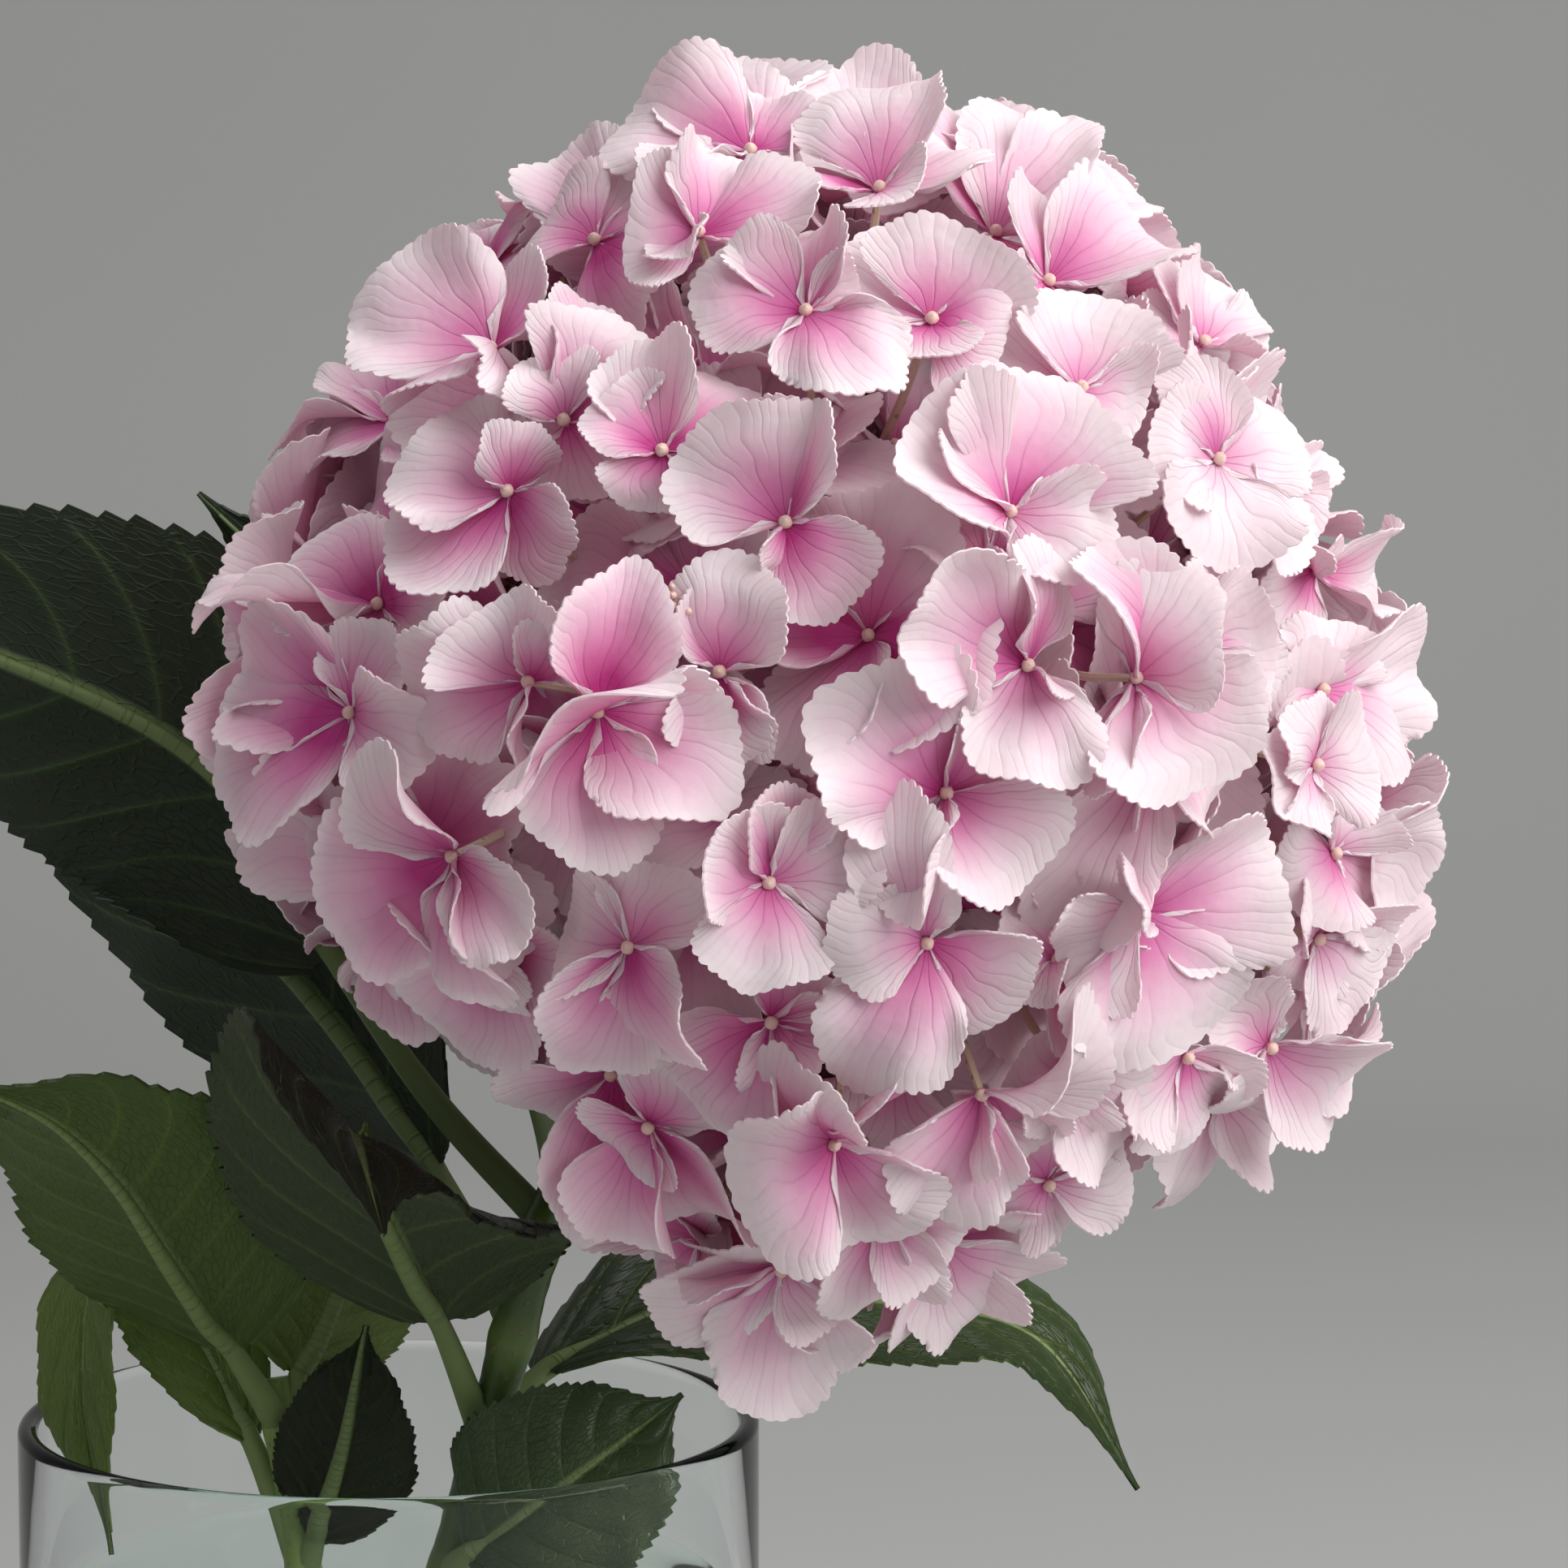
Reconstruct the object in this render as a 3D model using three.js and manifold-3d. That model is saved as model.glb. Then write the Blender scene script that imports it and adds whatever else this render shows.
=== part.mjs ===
// A cut hydrangea in a plain glass jar of water: one full mophead on a leaning stem, a second leafy shoot
// beside it, and ten serrated leaves.
// Millimetres, +Z up. The origin is the centre of the jar's underside, -Y is the front and +X is the right.

import * as THREE from "three";
import { mergeVertices } from "three/addons/utils/BufferGeometryUtils.js";
import Module from "manifold-3d";

const wasm = await Module();
wasm.setup();

// ---- driving dimensions -------------------------------------------------------------------------------

const CLEARANCE = 0.3; // between pieces that touch on the real thing

const JAR = { radius: 55, height: 190, wall: 3, base: 9, foot: 4, heel: 5, segments: 40 };
const CORNER_STEPS = 3; // of the jar's rounded foot and heel
const LIP_STEPS = 4;
const WATER_LEVEL = 160;

// Each stem is a smooth path from its foot on the jar's base to its top, with a swelling at each leaf joint.
const FLOWER_STEM = {
  radius: 3.1,
  path: [[-30, 22, 10.3], [-8, 5, 95], [9, -10.5, 166], [15, -16, 190], [25.9, -26, 227], [43, -41, 266]],
  joints: [168, 190, 206, 223],
  steps: 30,
};
const LEAFY_SHOOT = {
  radius: 2.4,
  path: [[12, -30, 9.9], [-2, -19, 100], [-15.5, -8, 190], [-16.6, -7, 197]],
  joints: [168, 190],
  steps: 20,
};
const STEM_SIDES = 10;
const JOINT_SWELL = 0.22; // of the stem's radius
const JOINT_REACH = 5; // half the height of a swelling
const STEM_ROOM = { around: CLEARANCE * 1.2, beyond: 2 }; // left free by the water, the leaves and the head

// The head is a ball with soft lobes and hollows, each { toward, rise, spread in degrees }.
const HEAD = { centre: [62.5, -57.8, 300.6], semiAxes: [82, 82, 84] };
const HEAD_LOBES = [
  { toward: [-0.15, -0.1, 1], rise: 11, spread: 30 },
  { toward: [-0.05, -0.3, -1], rise: 12, spread: 22 },
  { toward: [0.8, -0.2, -0.6], rise: 8, spread: 26 },
  { toward: [-0.95, -0.5, -0.12], rise: 6, spread: 30 },
  { toward: [-0.75, -0.15, -0.75], rise: -22, spread: 28 },
  { toward: [0.5, 0.1, -0.85], rise: -8, spread: 18 },
  { toward: [-0.55, 0.2, 0.85], rise: -8, spread: 16 },
];
const CORE_SHARE = 0.76; // of the head's radius
const CORE_DETAIL = 3;
const FLORETS = 60;
const FLORET_DEPTH = [0.86, 0.93]; // where a floret's eye lies, as a share of the head's radius
const FLORET_TILT = 0.25; // how far a floret leans away from straight out, at most
const STEM_ENTRY = 0.85; // share of the stem's length at which it enters the head
const STEM_GAP = 24; // degrees round the stem that hold no florets
const SEPAL = {
  length: 23,
  halfWidth: 12.3,
  thickness: 0.9,
  claw: 2.6, // from the floret's middle to the notch between two sepals
  bead: 1.8, // height of the floret's middle
  root: 0.62, // where its stalk ends in the core, as a share of the head's radius
  middle: 0.58, // the point inside the outline, as a share of the length
  outline: [[0.42, -0.85], [0.84, -0.78], [1, 0], [0.84, 0.78], [0.42, 0.85]], // shares of length, half width
  size: [0.85, 1.1],
  pitch: [-0.15, 0.45], // rise of the tip as a share of the length
  cup: [-0.3, 0.25], // rise of the margins as a share of the half width
  turn: 0.1, // radians out of its place round the floret, at most
};
const RANDOM = { seed: 7919, factor: 16807, modulus: 2147483647 };

// ---- leaves ---------------------------------------------------------------------------------------------
// path: from the stem's axis through the leaf stalk and along the midrib to the tip.
// stalk: length of the leaf stalk. faceBase, faceTip: the way the upper side looks at either end.
// fold: rise of the margins as a share of the half width, negative where they hang.

const LEAF = {
  rows: 16,
  thickness: 0.8,
  midrib: 1.3, // stands out below the blade at its base
  narrowest: 1, // half width of the blade at either end
  fullness: 0.8, // below 1 the blade is widest nearer its base
  shoulder: 0.75, // below 1 its ends are blunter
  taper: 0.18, // share of the width lost towards the tip
  trim: 0.02, // share of the outline left out at either end
  waves: 9, // radians of the margin's wave from base to tip
  waveSlant: 2, // radians between the waves of the left and the right margin, halved
  stalkRadius: 1.9,
  stalkFlare: 1.25, // share of the radius at its foot
  stalkTaper: 0.6, // share of the radius lost on the way
  stalkSides: 5,
  stalkSteps: 6,
  stalkInBlade: 0.1, // share of the path on which the stalk runs on into the blade
  tooth: 0.09, // depth of a notch as a share of the half width
  toothLean: 0.3, // how far a tooth leans towards the tip, as a share of a row
};
const LEAVES = {
  leaf_front_arching: {
    stem: FLOWER_STEM, stalk: 24, halfWidth: 31, fold: 0.1, wave: 2.0,
    path: [
      [15, -16, 190], [10, -26, 207], [5, -38, 222],
      [1, -55, 237], [1, -77, 246], [6, -97, 236],
    ],
    faceBase: [0.1, 0.9, 0.4], faceTip: [0.75, -0.5, 0.9],
  },
  leaf_right_long: {
    stem: FLOWER_STEM, stalk: 16, halfWidth: 20, fold: 0.1, wave: 2.0,
    path: [
      [15, -16, 190], [24, -4, 198], [46, 9, 206],
      [71.9, 14.7, 204.5], [96.6, 15.1, 198.8], [112.3, 11.5, 175.9],
    ],
    faceBase: [-0.1, -0.25, 1], faceTip: [0.85, -0.5, 0.4],
  },
  leaf_right_hanging: {
    stem: FLOWER_STEM, stalk: 11, halfWidth: 17.5, fold: 0.1, wave: 1.2,
    path: [
      [9.4, -10.9, 168], [12.5, -20, 173], [20, -26.5, 180],
      [28, -27.5, 186.5], [36, -25, 192], [44, -20.5, 197.5],
    ],
    faceBase: [-0.15, -0.9, 0.35], faceTip: [0.1, -1, 0.2],
  },
  leaf_left_large: {
    stem: FLOWER_STEM, stalk: 52, halfWidth: 31, fold: 0.14, wave: 2.5,
    path: [
      [25, -25, 223], [8, -17, 240], [-9, -9, 263],
      [-25, -4, 287], [-55, -9, 304], [-98, -13, 316],
    ],
    faceBase: [-0.2, 0.9, 0.35], faceTip: [-0.1, 0.9, 0.45],
  },
  leaf_left_dark: {
    stem: FLOWER_STEM, stalk: 34, halfWidth: 31, fold: 0.14, wave: 2.0,
    path: [
      [20, -20.5, 206], [10, -0.5, 222], [-6.5, 16, 244],
      [-29.5, 23, 268], [-53, 25, 290], [-78, 22, 306],
    ],
    faceBase: [0.25, 0.8, 0.5], faceTip: [0.1, 0.9, 0.5],
  },
  leaf_back_tall: {
    stem: FLOWER_STEM, stalk: 50, halfWidth: 26, fold: 0.12, wave: 2.0,
    path: [
      [25, -25, 223], [24, 2, 230], [14, 30, 252],
      [0, 44, 284], [-16, 50, 308], [-32, 51, 324],
    ],
    faceBase: [0.2, 0.8, 0.5], faceTip: [-0.2, 0.85, 0.5],
  },
  leaf_left_front: {
    stem: LEAFY_SHOOT, stalk: 16, halfWidth: 26, fold: 0.3, wave: 1.5,
    path: [
      [-15.5, -8, 190], [-22, -15, 203], [-29.5, -22, 217],
      [-37, -29, 231], [-45, -37, 241], [-54.5, -44, 247],
    ],
    faceBase: [0.1, 0.75, 0.75], faceTip: [0.05, 0.65, 0.8],
  },
  leaf_back_low: {
    stem: LEAFY_SHOOT, stalk: 8, halfWidth: 19, fold: 0.12, wave: 1.5,
    path: [
      [-15.5, -8, 190], [-11.9, -4.4, 200], [-7.9, -1, 209.5],
      [-5.4, 2, 218.5], [-4.1, 4, 226], [-3.6, 5.5, 233],
    ],
    faceBase: [-0.2, 0.8, 0.5], faceTip: [-0.2, 0.7, 0.7],
  },
  leaf_upright_small: {
    stem: LEAFY_SHOOT, stalk: 6, halfWidth: 12, fold: 0.15, wave: 0.8,
    path: [
      [-12.1, -10.8, 168], [-8.4, -14.4, 178.7], [-5.3, -17.2, 189.1],
      [-3.3, -19.1, 199.4], [-1.9, -19.2, 207.5],
    ],
    faceBase: [0.3, 0.9, 0.2], faceTip: [0.3, 0.9, 0.1],
  },
  leaf_over_rim: {
    stem: LEAFY_SHOOT, stalk: 22, halfWidth: 12, fold: 0.12, wave: 1.2,
    path: [
      [-12.1, -10.8, 168], [-20.6, -5, 188], [-33, 2.5, 207],
      [-43.4, 4, 211], [-45.5, -3, 197], [-40.9, -10, 170.3],
    ],
    faceBase: [-0.3, 0.2, 0.9], faceTip: [-0.75, -0.65, 0.1],
  },
};

// ---- colours --------------------------------------------------------------------------------------------

const FINISH = {
  glass: { color: 0xdfe8e6, roughness: 0.05, metalness: 0, transparent: true, opacity: 0.35 },
  water: { color: 0xe6efec, roughness: 0.05, metalness: 0, transparent: true, opacity: 0.3 },
  stem: { color: 0x4f6b2c, roughness: 0.55, metalness: 0 },
  leaf: { color: 0x2c4a2c, roughness: 0.5, metalness: 0 },
  sepal: { color: 0xf0c3d2, roughness: 0.7, metalness: 0 },
};

// ---- solids ---------------------------------------------------------------------------------------------

function toSolid(geometry) {
  geometry.deleteAttribute("normal");
  geometry.deleteAttribute("uv");
  const merged = mergeVertices(geometry, 1e-4);
  const vertProperties = new Float32Array(merged.attributes.position.array);
  return new wasm.Manifold(
    new wasm.Mesh({ numProp: 3, vertProperties, triVerts: new Uint32Array(merged.index.array) }),
  );
}

function toGeometry(solid) {
  const mesh = solid.getMesh();
  const geometry = new THREE.BufferGeometry();
  geometry.setAttribute("position", new THREE.BufferAttribute(mesh.vertProperties, 3));
  geometry.setIndex(new THREE.BufferAttribute(mesh.triVerts, 1));
  return geometry;
}

function largestBody(solid) {
  return solid.decompose().reduce((best, body) => (body.volume() > best.volume() ? body : best));
}

// A closed sheet from its upper and lower points, the upper side's triangles and its outline, anticlockwise.
function closedSheet(upper, lower, triangles, outline) {
  const count = upper.length;
  const index = [];
  for (const [a, b, c] of triangles) index.push(a, b, c, a + count, c + count, b + count);
  outline.forEach((a, i) => {
    const b = outline[(i + 1) % outline.length];
    index.push(b, a, a + count, b, a + count, b + count);
  });
  const geometry = new THREE.BufferGeometry().setFromPoints([...upper, ...lower]);
  geometry.setIndex(index);
  return geometry;
}

// A closed tube along a curve, with a radius for each share of its length, and longer by extend at both ends.
function sweep(curve, radiusAt, sides, steps, extend = 0) {
  const frames = curve.computeFrenetFrames(steps);
  const points = [];
  const index = [];
  for (let i = 0; i <= steps; i++) {
    const centre = curve.getPointAt(i / steps);
    if (i === 0) centre.addScaledVector(frames.tangents[i], -extend);
    if (i === steps) centre.addScaledVector(frames.tangents[i], extend);
    const radius = radiusAt(i / steps, centre);
    for (let j = 0; j < sides; j++) {
      const angle = (2 * Math.PI * j) / sides;
      const rim = centre.clone().addScaledVector(frames.normals[i], radius * Math.cos(angle));
      points.push(rim.addScaledVector(frames.binormals[i], radius * Math.sin(angle)));
    }
  }
  for (let i = 0; i < steps; i++)
    for (let j = 0; j < sides; j++) {
      const [a, b] = [i * sides + j, i * sides + ((j + 1) % sides)];
      index.push(a, b, b + sides, a, b + sides, a + sides);
    }
  for (let j = 1; j < sides - 1; j++) {
    const last = steps * sides;
    index.push(0, j + 1, j, last, last + j, last + j + 1);
  }
  const geometry = new THREE.BufferGeometry().setFromPoints(points);
  geometry.setIndex(index);
  return geometry;
}

function curveThrough(points) {
  return new THREE.CatmullRomCurve3(points.map((p) => new THREE.Vector3(...p)), false, "centripetal");
}

// ---- jar and water --------------------------------------------------------------------------------------

function arc(centreX, centreY, radius, from, to, steps) {
  const points = [];
  for (let i = 0; i <= steps; i++) {
    const angle = THREE.MathUtils.degToRad(from + ((to - from) * i) / steps);
    points.push([centreX + radius * Math.cos(angle), centreY + radius * Math.sin(angle)]);
  }
  return points;
}

function turned(profile) {
  const points = profile.map(([x, y]) => new THREE.Vector2(x, y));
  return new THREE.LatheGeometry(points, JAR.segments).rotateX(Math.PI / 2);
}

function jarGeometry() {
  const { radius, height, wall, base, foot, heel } = JAR;
  const lip = wall / 2;
  return turned([
    [0, 0],
    ...arc(radius - foot, foot, foot, -90, 0, CORNER_STEPS),
    ...arc(radius - lip, height - lip, lip, 0, 180, LIP_STEPS),
    ...arc(radius - wall - heel, base + heel, heel, 0, -90, CORNER_STEPS),
    [0, base],
  ]);
}

function waterSolid(stems) {
  const { radius, wall, base, heel } = JAR;
  const side = radius - wall - CLEARANCE;
  const floor = base + CLEARANCE;
  const body = toSolid(turned([
    [0, floor],
    ...arc(side - heel, floor + heel, heel, -90, 0, CORNER_STEPS),
    [side, WATER_LEVEL],
    [0, WATER_LEVEL],
  ]));
  return stems.reduce((rest, stem) => rest.subtract(roomFor(stem)), body);
}

// ---- stems ----------------------------------------------------------------------------------------------

function stemGeometry(stem, grow = 0, extend = 0) {
  const radiusAt = (share, centre) => {
    const swell = Math.max(...stem.joints.map((z) => 1 - Math.abs(centre.z - z) / JOINT_REACH), 0);
    return stem.radius * (1 + JOINT_SWELL * swell) + grow;
  };
  return sweep(curveThrough(stem.path), radiusAt, STEM_SIDES, stem.steps, extend);
}

// The space that a neighbour leaves free for a stem.
function roomFor(stem) {
  return toSolid(stemGeometry(stem, STEM_ROOM.around, STEM_ROOM.beyond));
}

// ---- leaves ---------------------------------------------------------------------------------------------

// The half width of the blade, as a share of the widest, for a share s of the way from its base to its tip.
function bladeOutline(s) {
  return Math.sin(Math.PI * Math.pow(s, LEAF.fullness)) ** LEAF.shoulder * (1 - LEAF.taper * s);
}

function leafBlade(leaf, curve, start) {
  const faceBase = new THREE.Vector3(...leaf.faceBase);
  const faceTip = new THREE.Vector3(...leaf.faceTip);
  const upper = [];
  const lower = [];
  const columns = [-1, -0.5, 0, 0.5, 1];
  for (let i = 0; i <= LEAF.rows; i++) {
    const s = i / LEAF.rows;
    const notch = i % 2 ? LEAF.tooth : 0;
    const share = bladeOutline(LEAF.trim + (1 - 2 * LEAF.trim) * s) * (1 - notch);
    const half = Math.max(leaf.halfWidth * share, LEAF.narrowest);
    const u = start + (1 - start) * s;
    const along = curve.getTangentAt(u);
    const face = faceBase.clone().lerp(faceTip, s);
    face.addScaledVector(along, -face.dot(along)).normalize();
    const side = new THREE.Vector3().crossVectors(along, face);
    for (const v of columns) {
      const reach = Math.abs(v);
      const lean = i % 2 ? 0 : LEAF.toothLean * reach * (leaf.halfWidth / LEAF.rows);
      const wave = leaf.wave * Math.sin(LEAF.waves * s + LEAF.waveSlant * v);
      const lift = leaf.fold * reach * half + wave * reach * reach;
      const point = curve.getPointAt(u).addScaledVector(side, v * half);
      point.addScaledVector(along, lean).addScaledVector(face, lift);
      const rib = v === 0 ? LEAF.midrib * (1 - s) : 0;
      upper.push(point.clone().addScaledVector(face, LEAF.thickness / 2));
      lower.push(point.clone().addScaledVector(face, -LEAF.thickness / 2 - rib));
    }
  }
  const width = columns.length;
  const triangles = [];
  for (let i = 0; i < LEAF.rows; i++)
    for (let j = 0; j < width - 1; j++) {
      const a = i * width + j;
      const [b, c, d] = [a + 1, a + 1 + width, a + width];
      if (j < width / 2 - 1) triangles.push([a, b, c], [a, c, d]);
      else triangles.push([a, b, d], [b, c, d]);
    }
  const rowStart = (i) => i * width;
  const rightEdge = Array.from({ length: LEAF.rows }, (_, i) => rowStart(i + 1) + width - 1);
  const leftEdge = Array.from({ length: LEAF.rows }, (_, i) => rowStart(LEAF.rows - i));
  const baseRow = columns.map((_, j) => j);
  const tipRow = columns.slice(1, -1).map((_, j) => rowStart(LEAF.rows) + width - 2 - j);
  return closedSheet(upper, lower, triangles, [...baseRow, ...rightEdge, ...tipRow, ...leftEdge]);
}

function leafSolid(leaf) {
  const curve = curveThrough(leaf.path);
  const length = curve.getLength();
  const start = leaf.stalk / length;
  const blade = toSolid(leafBlade(leaf, curve, start));
  const { stalkRadius, stalkFlare, stalkTaper, stalkSides, stalkSteps, stalkInBlade } = LEAF;
  const stalkPoints = Array.from({ length: stalkSteps + 1 }, (_, i) =>
    curve.getPointAt((start + stalkInBlade) * (i / stalkSteps)));
  const stalkCurve = new THREE.CatmullRomCurve3(stalkPoints);
  const radiusAt = (share) => stalkRadius * (stalkFlare - stalkTaper * share);
  const stalk = toSolid(sweep(stalkCurve, radiusAt, stalkSides, stalkSteps));
  return largestBody(blade.add(stalk).subtract(roomFor(leaf.stem)));
}

// ---- flower head ----------------------------------------------------------------------------------------

let draw = RANDOM.seed;
function random(low, high) {
  draw = (draw * RANDOM.factor) % RANDOM.modulus;
  return low + ((high - low) * draw) / RANDOM.modulus;
}

function headRadius(direction) {
  const [a, b, c] = HEAD.semiAxes;
  const ball = 1 / Math.hypot(direction.x / a, direction.y / b, direction.z / c);
  return HEAD_LOBES.reduce((radius, { toward, rise, spread }) => {
    const angle = THREE.MathUtils.radToDeg(direction.angleTo(new THREE.Vector3(...toward)));
    return radius + rise * Math.exp(-((angle / spread) ** 2));
  }, ball);
}

function coreGeometry() {
  const core = new THREE.IcosahedronGeometry(1, CORE_DETAIL);
  const position = core.attributes.position;
  for (let i = 0; i < position.count; i++) {
    const direction = new THREE.Vector3().fromBufferAttribute(position, i).normalize();
    const point = direction.clone().multiplyScalar(CORE_SHARE * headRadius(direction));
    position.setXYZ(i, point.x, point.y, point.z);
  }
  return core;
}

// One floret: four sepals round a raised bead, over a stalk that tapers into the core.
function floretGeometry(eye, axis, root) {
  const spin = random(0, 2 * Math.PI);
  const across = new THREE.Vector3(axis.z, axis.x, axis.y).cross(axis).normalize();
  const other = new THREE.Vector3().crossVectors(axis, across);
  const place = (radius, angle, height) =>
    eye.clone()
      .addScaledVector(across, radius * Math.cos(angle))
      .addScaledVector(other, radius * Math.sin(angle))
      .addScaledVector(axis, height);
  const upper = [place(0, 0, SEPAL.bead)];
  for (let k = 0; k < 4; k++) upper.push(place(SEPAL.claw, spin + (k + 0.5) * (Math.PI / 2), 0));
  const triangles = [];
  const outline = [];
  for (let k = 0; k < 4; k++) {
    const length = SEPAL.length * random(...SEPAL.size);
    const half = SEPAL.halfWidth * random(...SEPAL.size);
    const pitch = random(...SEPAL.pitch);
    const cup = random(...SEPAL.cup);
    const middle = spin + k * (Math.PI / 2) + random(-SEPAL.turn, SEPAL.turn);
    const sepalPoint = (forward, side) => {
      const lift = pitch * length * forward + cup * half * side * side;
      return place(Math.hypot(forward * length, side * half),
        middle + Math.atan2(side * half, forward * length), lift);
    };
    const first = upper.length;
    upper.push(sepalPoint(SEPAL.middle, 0));
    upper.push(...SEPAL.outline.map(([forward, side]) => sepalPoint(forward, side)));
    const before = 1 + ((k + 3) % 4);
    const ring = [before, ...SEPAL.outline.map((_, i) => first + 1 + i), 1 + k];
    ring.forEach((a, i) => triangles.push([first, a, ring[(i + 1) % ring.length]]));
    triangles.push([0, before, 1 + k]);
    outline.push(...ring.slice(0, -1));
  }
  const lower = upper.map((p) => p.clone().addScaledVector(axis, -SEPAL.thickness));
  lower[0] = root;
  return closedSheet(upper, lower, triangles, outline);
}

// Directions spread evenly over a ball.
function spreadDirection(i, count) {
  const height = 1 - (2 * (i + 0.5)) / count;
  const turn = i * Math.PI * (3 - Math.sqrt(5));
  const ring = Math.sqrt(1 - height * height);
  return new THREE.Vector3(ring * Math.cos(turn), ring * Math.sin(turn), height);
}

function flowerHeadSolid() {
  const centre = new THREE.Vector3(...HEAD.centre);
  const stemCurve = curveThrough(FLOWER_STEM.path);
  const towardStem = stemCurve.getPointAt(STEM_ENTRY).sub(centre);
  let head = toSolid(coreGeometry());
  for (let i = 0; i < FLORETS; i++) {
    const direction = spreadDirection(i, FLORETS);
    if (THREE.MathUtils.radToDeg(direction.angleTo(towardStem)) < STEM_GAP) continue;
    const radius = headRadius(direction);
    const eye = direction.clone().multiplyScalar(radius * random(...FLORET_DEPTH));
    const lean = () => random(-FLORET_TILT, FLORET_TILT);
    const tilt = new THREE.Vector3(lean(), lean(), lean());
    const axis = direction.clone().add(tilt).normalize();
    const root = direction.clone().multiplyScalar(radius * SEPAL.root);
    head = head.add(toSolid(floretGeometry(eye, axis, root)));
  }
  head = head.translate(HEAD.centre);
  return largestBody(head.subtract(roomFor(FLOWER_STEM)));
}

// ---- assembly -------------------------------------------------------------------------------------------

function named(name, geometry, finish) {
  const mesh = new THREE.Mesh(geometry, new THREE.MeshStandardMaterial(finish));
  mesh.name = name;
  return mesh;
}

const hydrangea = new THREE.Group();
hydrangea.add(named("jar", jarGeometry(), FINISH.glass));
hydrangea.add(named("water", toGeometry(waterSolid([FLOWER_STEM, LEAFY_SHOOT])), FINISH.water));
hydrangea.add(named("flower_stem", stemGeometry(FLOWER_STEM), FINISH.stem));
hydrangea.add(named("leafy_shoot", stemGeometry(LEAFY_SHOOT), FINISH.stem));
for (const [name, leaf] of Object.entries(LEAVES))
  hydrangea.add(named(name, toGeometry(leafSolid(leaf)), FINISH.leaf));
hydrangea.add(named("flower_head", toGeometry(flowerHeadSolid()), FINISH.sepal));

export default hydrangea;
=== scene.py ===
"""A cut hydrangea leaning in a plain glass jar of water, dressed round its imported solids.

The head is built floret by floret. The florets on its near side are set out by where they show in the
photograph, and a seeded rule carries them on round the ball. Each one has four broad toothed sepals with real
thickness, a small closed bud in the middle and a stalk that runs back to the branching stalks in the head.
The leaves, stems, jar and water are finer versions of the solids, from the same driving dimensions.

All dimensions are millimetres in the part's frame until a mesh is made: +Z up, -Y the front, +X the right.
"""

import logging
import math
from collections.abc import Callable
from dataclasses import dataclass
from enum import Enum
from typing import NamedTuple

import bpy
import numpy as np
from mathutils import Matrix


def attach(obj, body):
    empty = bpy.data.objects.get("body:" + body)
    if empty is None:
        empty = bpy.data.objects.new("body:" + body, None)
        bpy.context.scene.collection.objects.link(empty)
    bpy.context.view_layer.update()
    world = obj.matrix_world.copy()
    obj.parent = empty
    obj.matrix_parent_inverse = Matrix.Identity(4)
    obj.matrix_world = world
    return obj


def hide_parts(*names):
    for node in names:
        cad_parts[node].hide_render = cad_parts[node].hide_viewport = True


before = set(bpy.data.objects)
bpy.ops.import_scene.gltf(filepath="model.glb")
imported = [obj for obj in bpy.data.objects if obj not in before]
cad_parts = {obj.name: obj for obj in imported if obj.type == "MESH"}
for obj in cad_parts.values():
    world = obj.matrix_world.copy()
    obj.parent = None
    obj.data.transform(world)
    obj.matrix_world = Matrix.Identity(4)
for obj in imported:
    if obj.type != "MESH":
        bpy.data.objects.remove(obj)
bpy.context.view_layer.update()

MM = 0.001
BODY = "root"
HEAD = "flower_head"
SEED = 20417
log = logging.getLogger("hydrangea")

Array = np.ndarray
Chance = np.random.Generator
Pair = tuple[float, float]
Triple = tuple[float, float, float]


# ---- vectors ----


def vec(*values: float) -> Array:
    """Returns the numbers as a vector."""
    return np.array(values, float)


def unit(v: Array) -> Array:
    """Returns the vector, or each row of vectors, at length 1."""
    return v / np.maximum(np.linalg.norm(v, axis=-1, keepdims=True), 1e-12)


def square_to(v: Array, along: Array) -> Array:
    """Returns v made perpendicular to the unit vector along, at length 1."""
    return unit(v - along * np.sum(v * along, axis=-1, keepdims=True))


def rolled(v: Array, about: Array, degrees: float) -> Array:
    """Returns v, which is perpendicular to the unit vector about, turned about it."""
    angle = math.radians(degrees)
    return v * math.cos(angle) + np.cross(about, v) * math.sin(angle)


def across_of(axis: Array) -> Array:
    """Returns a unit vector perpendicular to a unit vector."""
    return square_to(vec(axis[2], axis[0], axis[1]), axis)


def round_angles(count: int) -> Array:
    """Returns that many angles, evenly round a circle."""
    return np.linspace(0, 2 * math.pi, count, endpoint=False)


def smooth(low: float, high: float, x: Array) -> Array:
    """Returns 0 below low, 1 above high and a smooth step between."""
    t = np.clip((x - low) / (high - low), 0, 1)
    return t * t * (3 - 2 * t)


def spread_directions(count: int) -> Array:
    """Spreads directions evenly over a ball.

    Args:
        count: how many there are.

    Returns:
        The unit vectors, from the top down.
    """
    i = np.arange(count)
    height = 1 - (2 * i + 1) / count
    turn = i * math.pi * (3 - math.sqrt(5))
    ring = np.sqrt(1 - height**2)
    return np.stack([ring * np.cos(turn), ring * np.sin(turn), height], axis=1)


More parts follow.
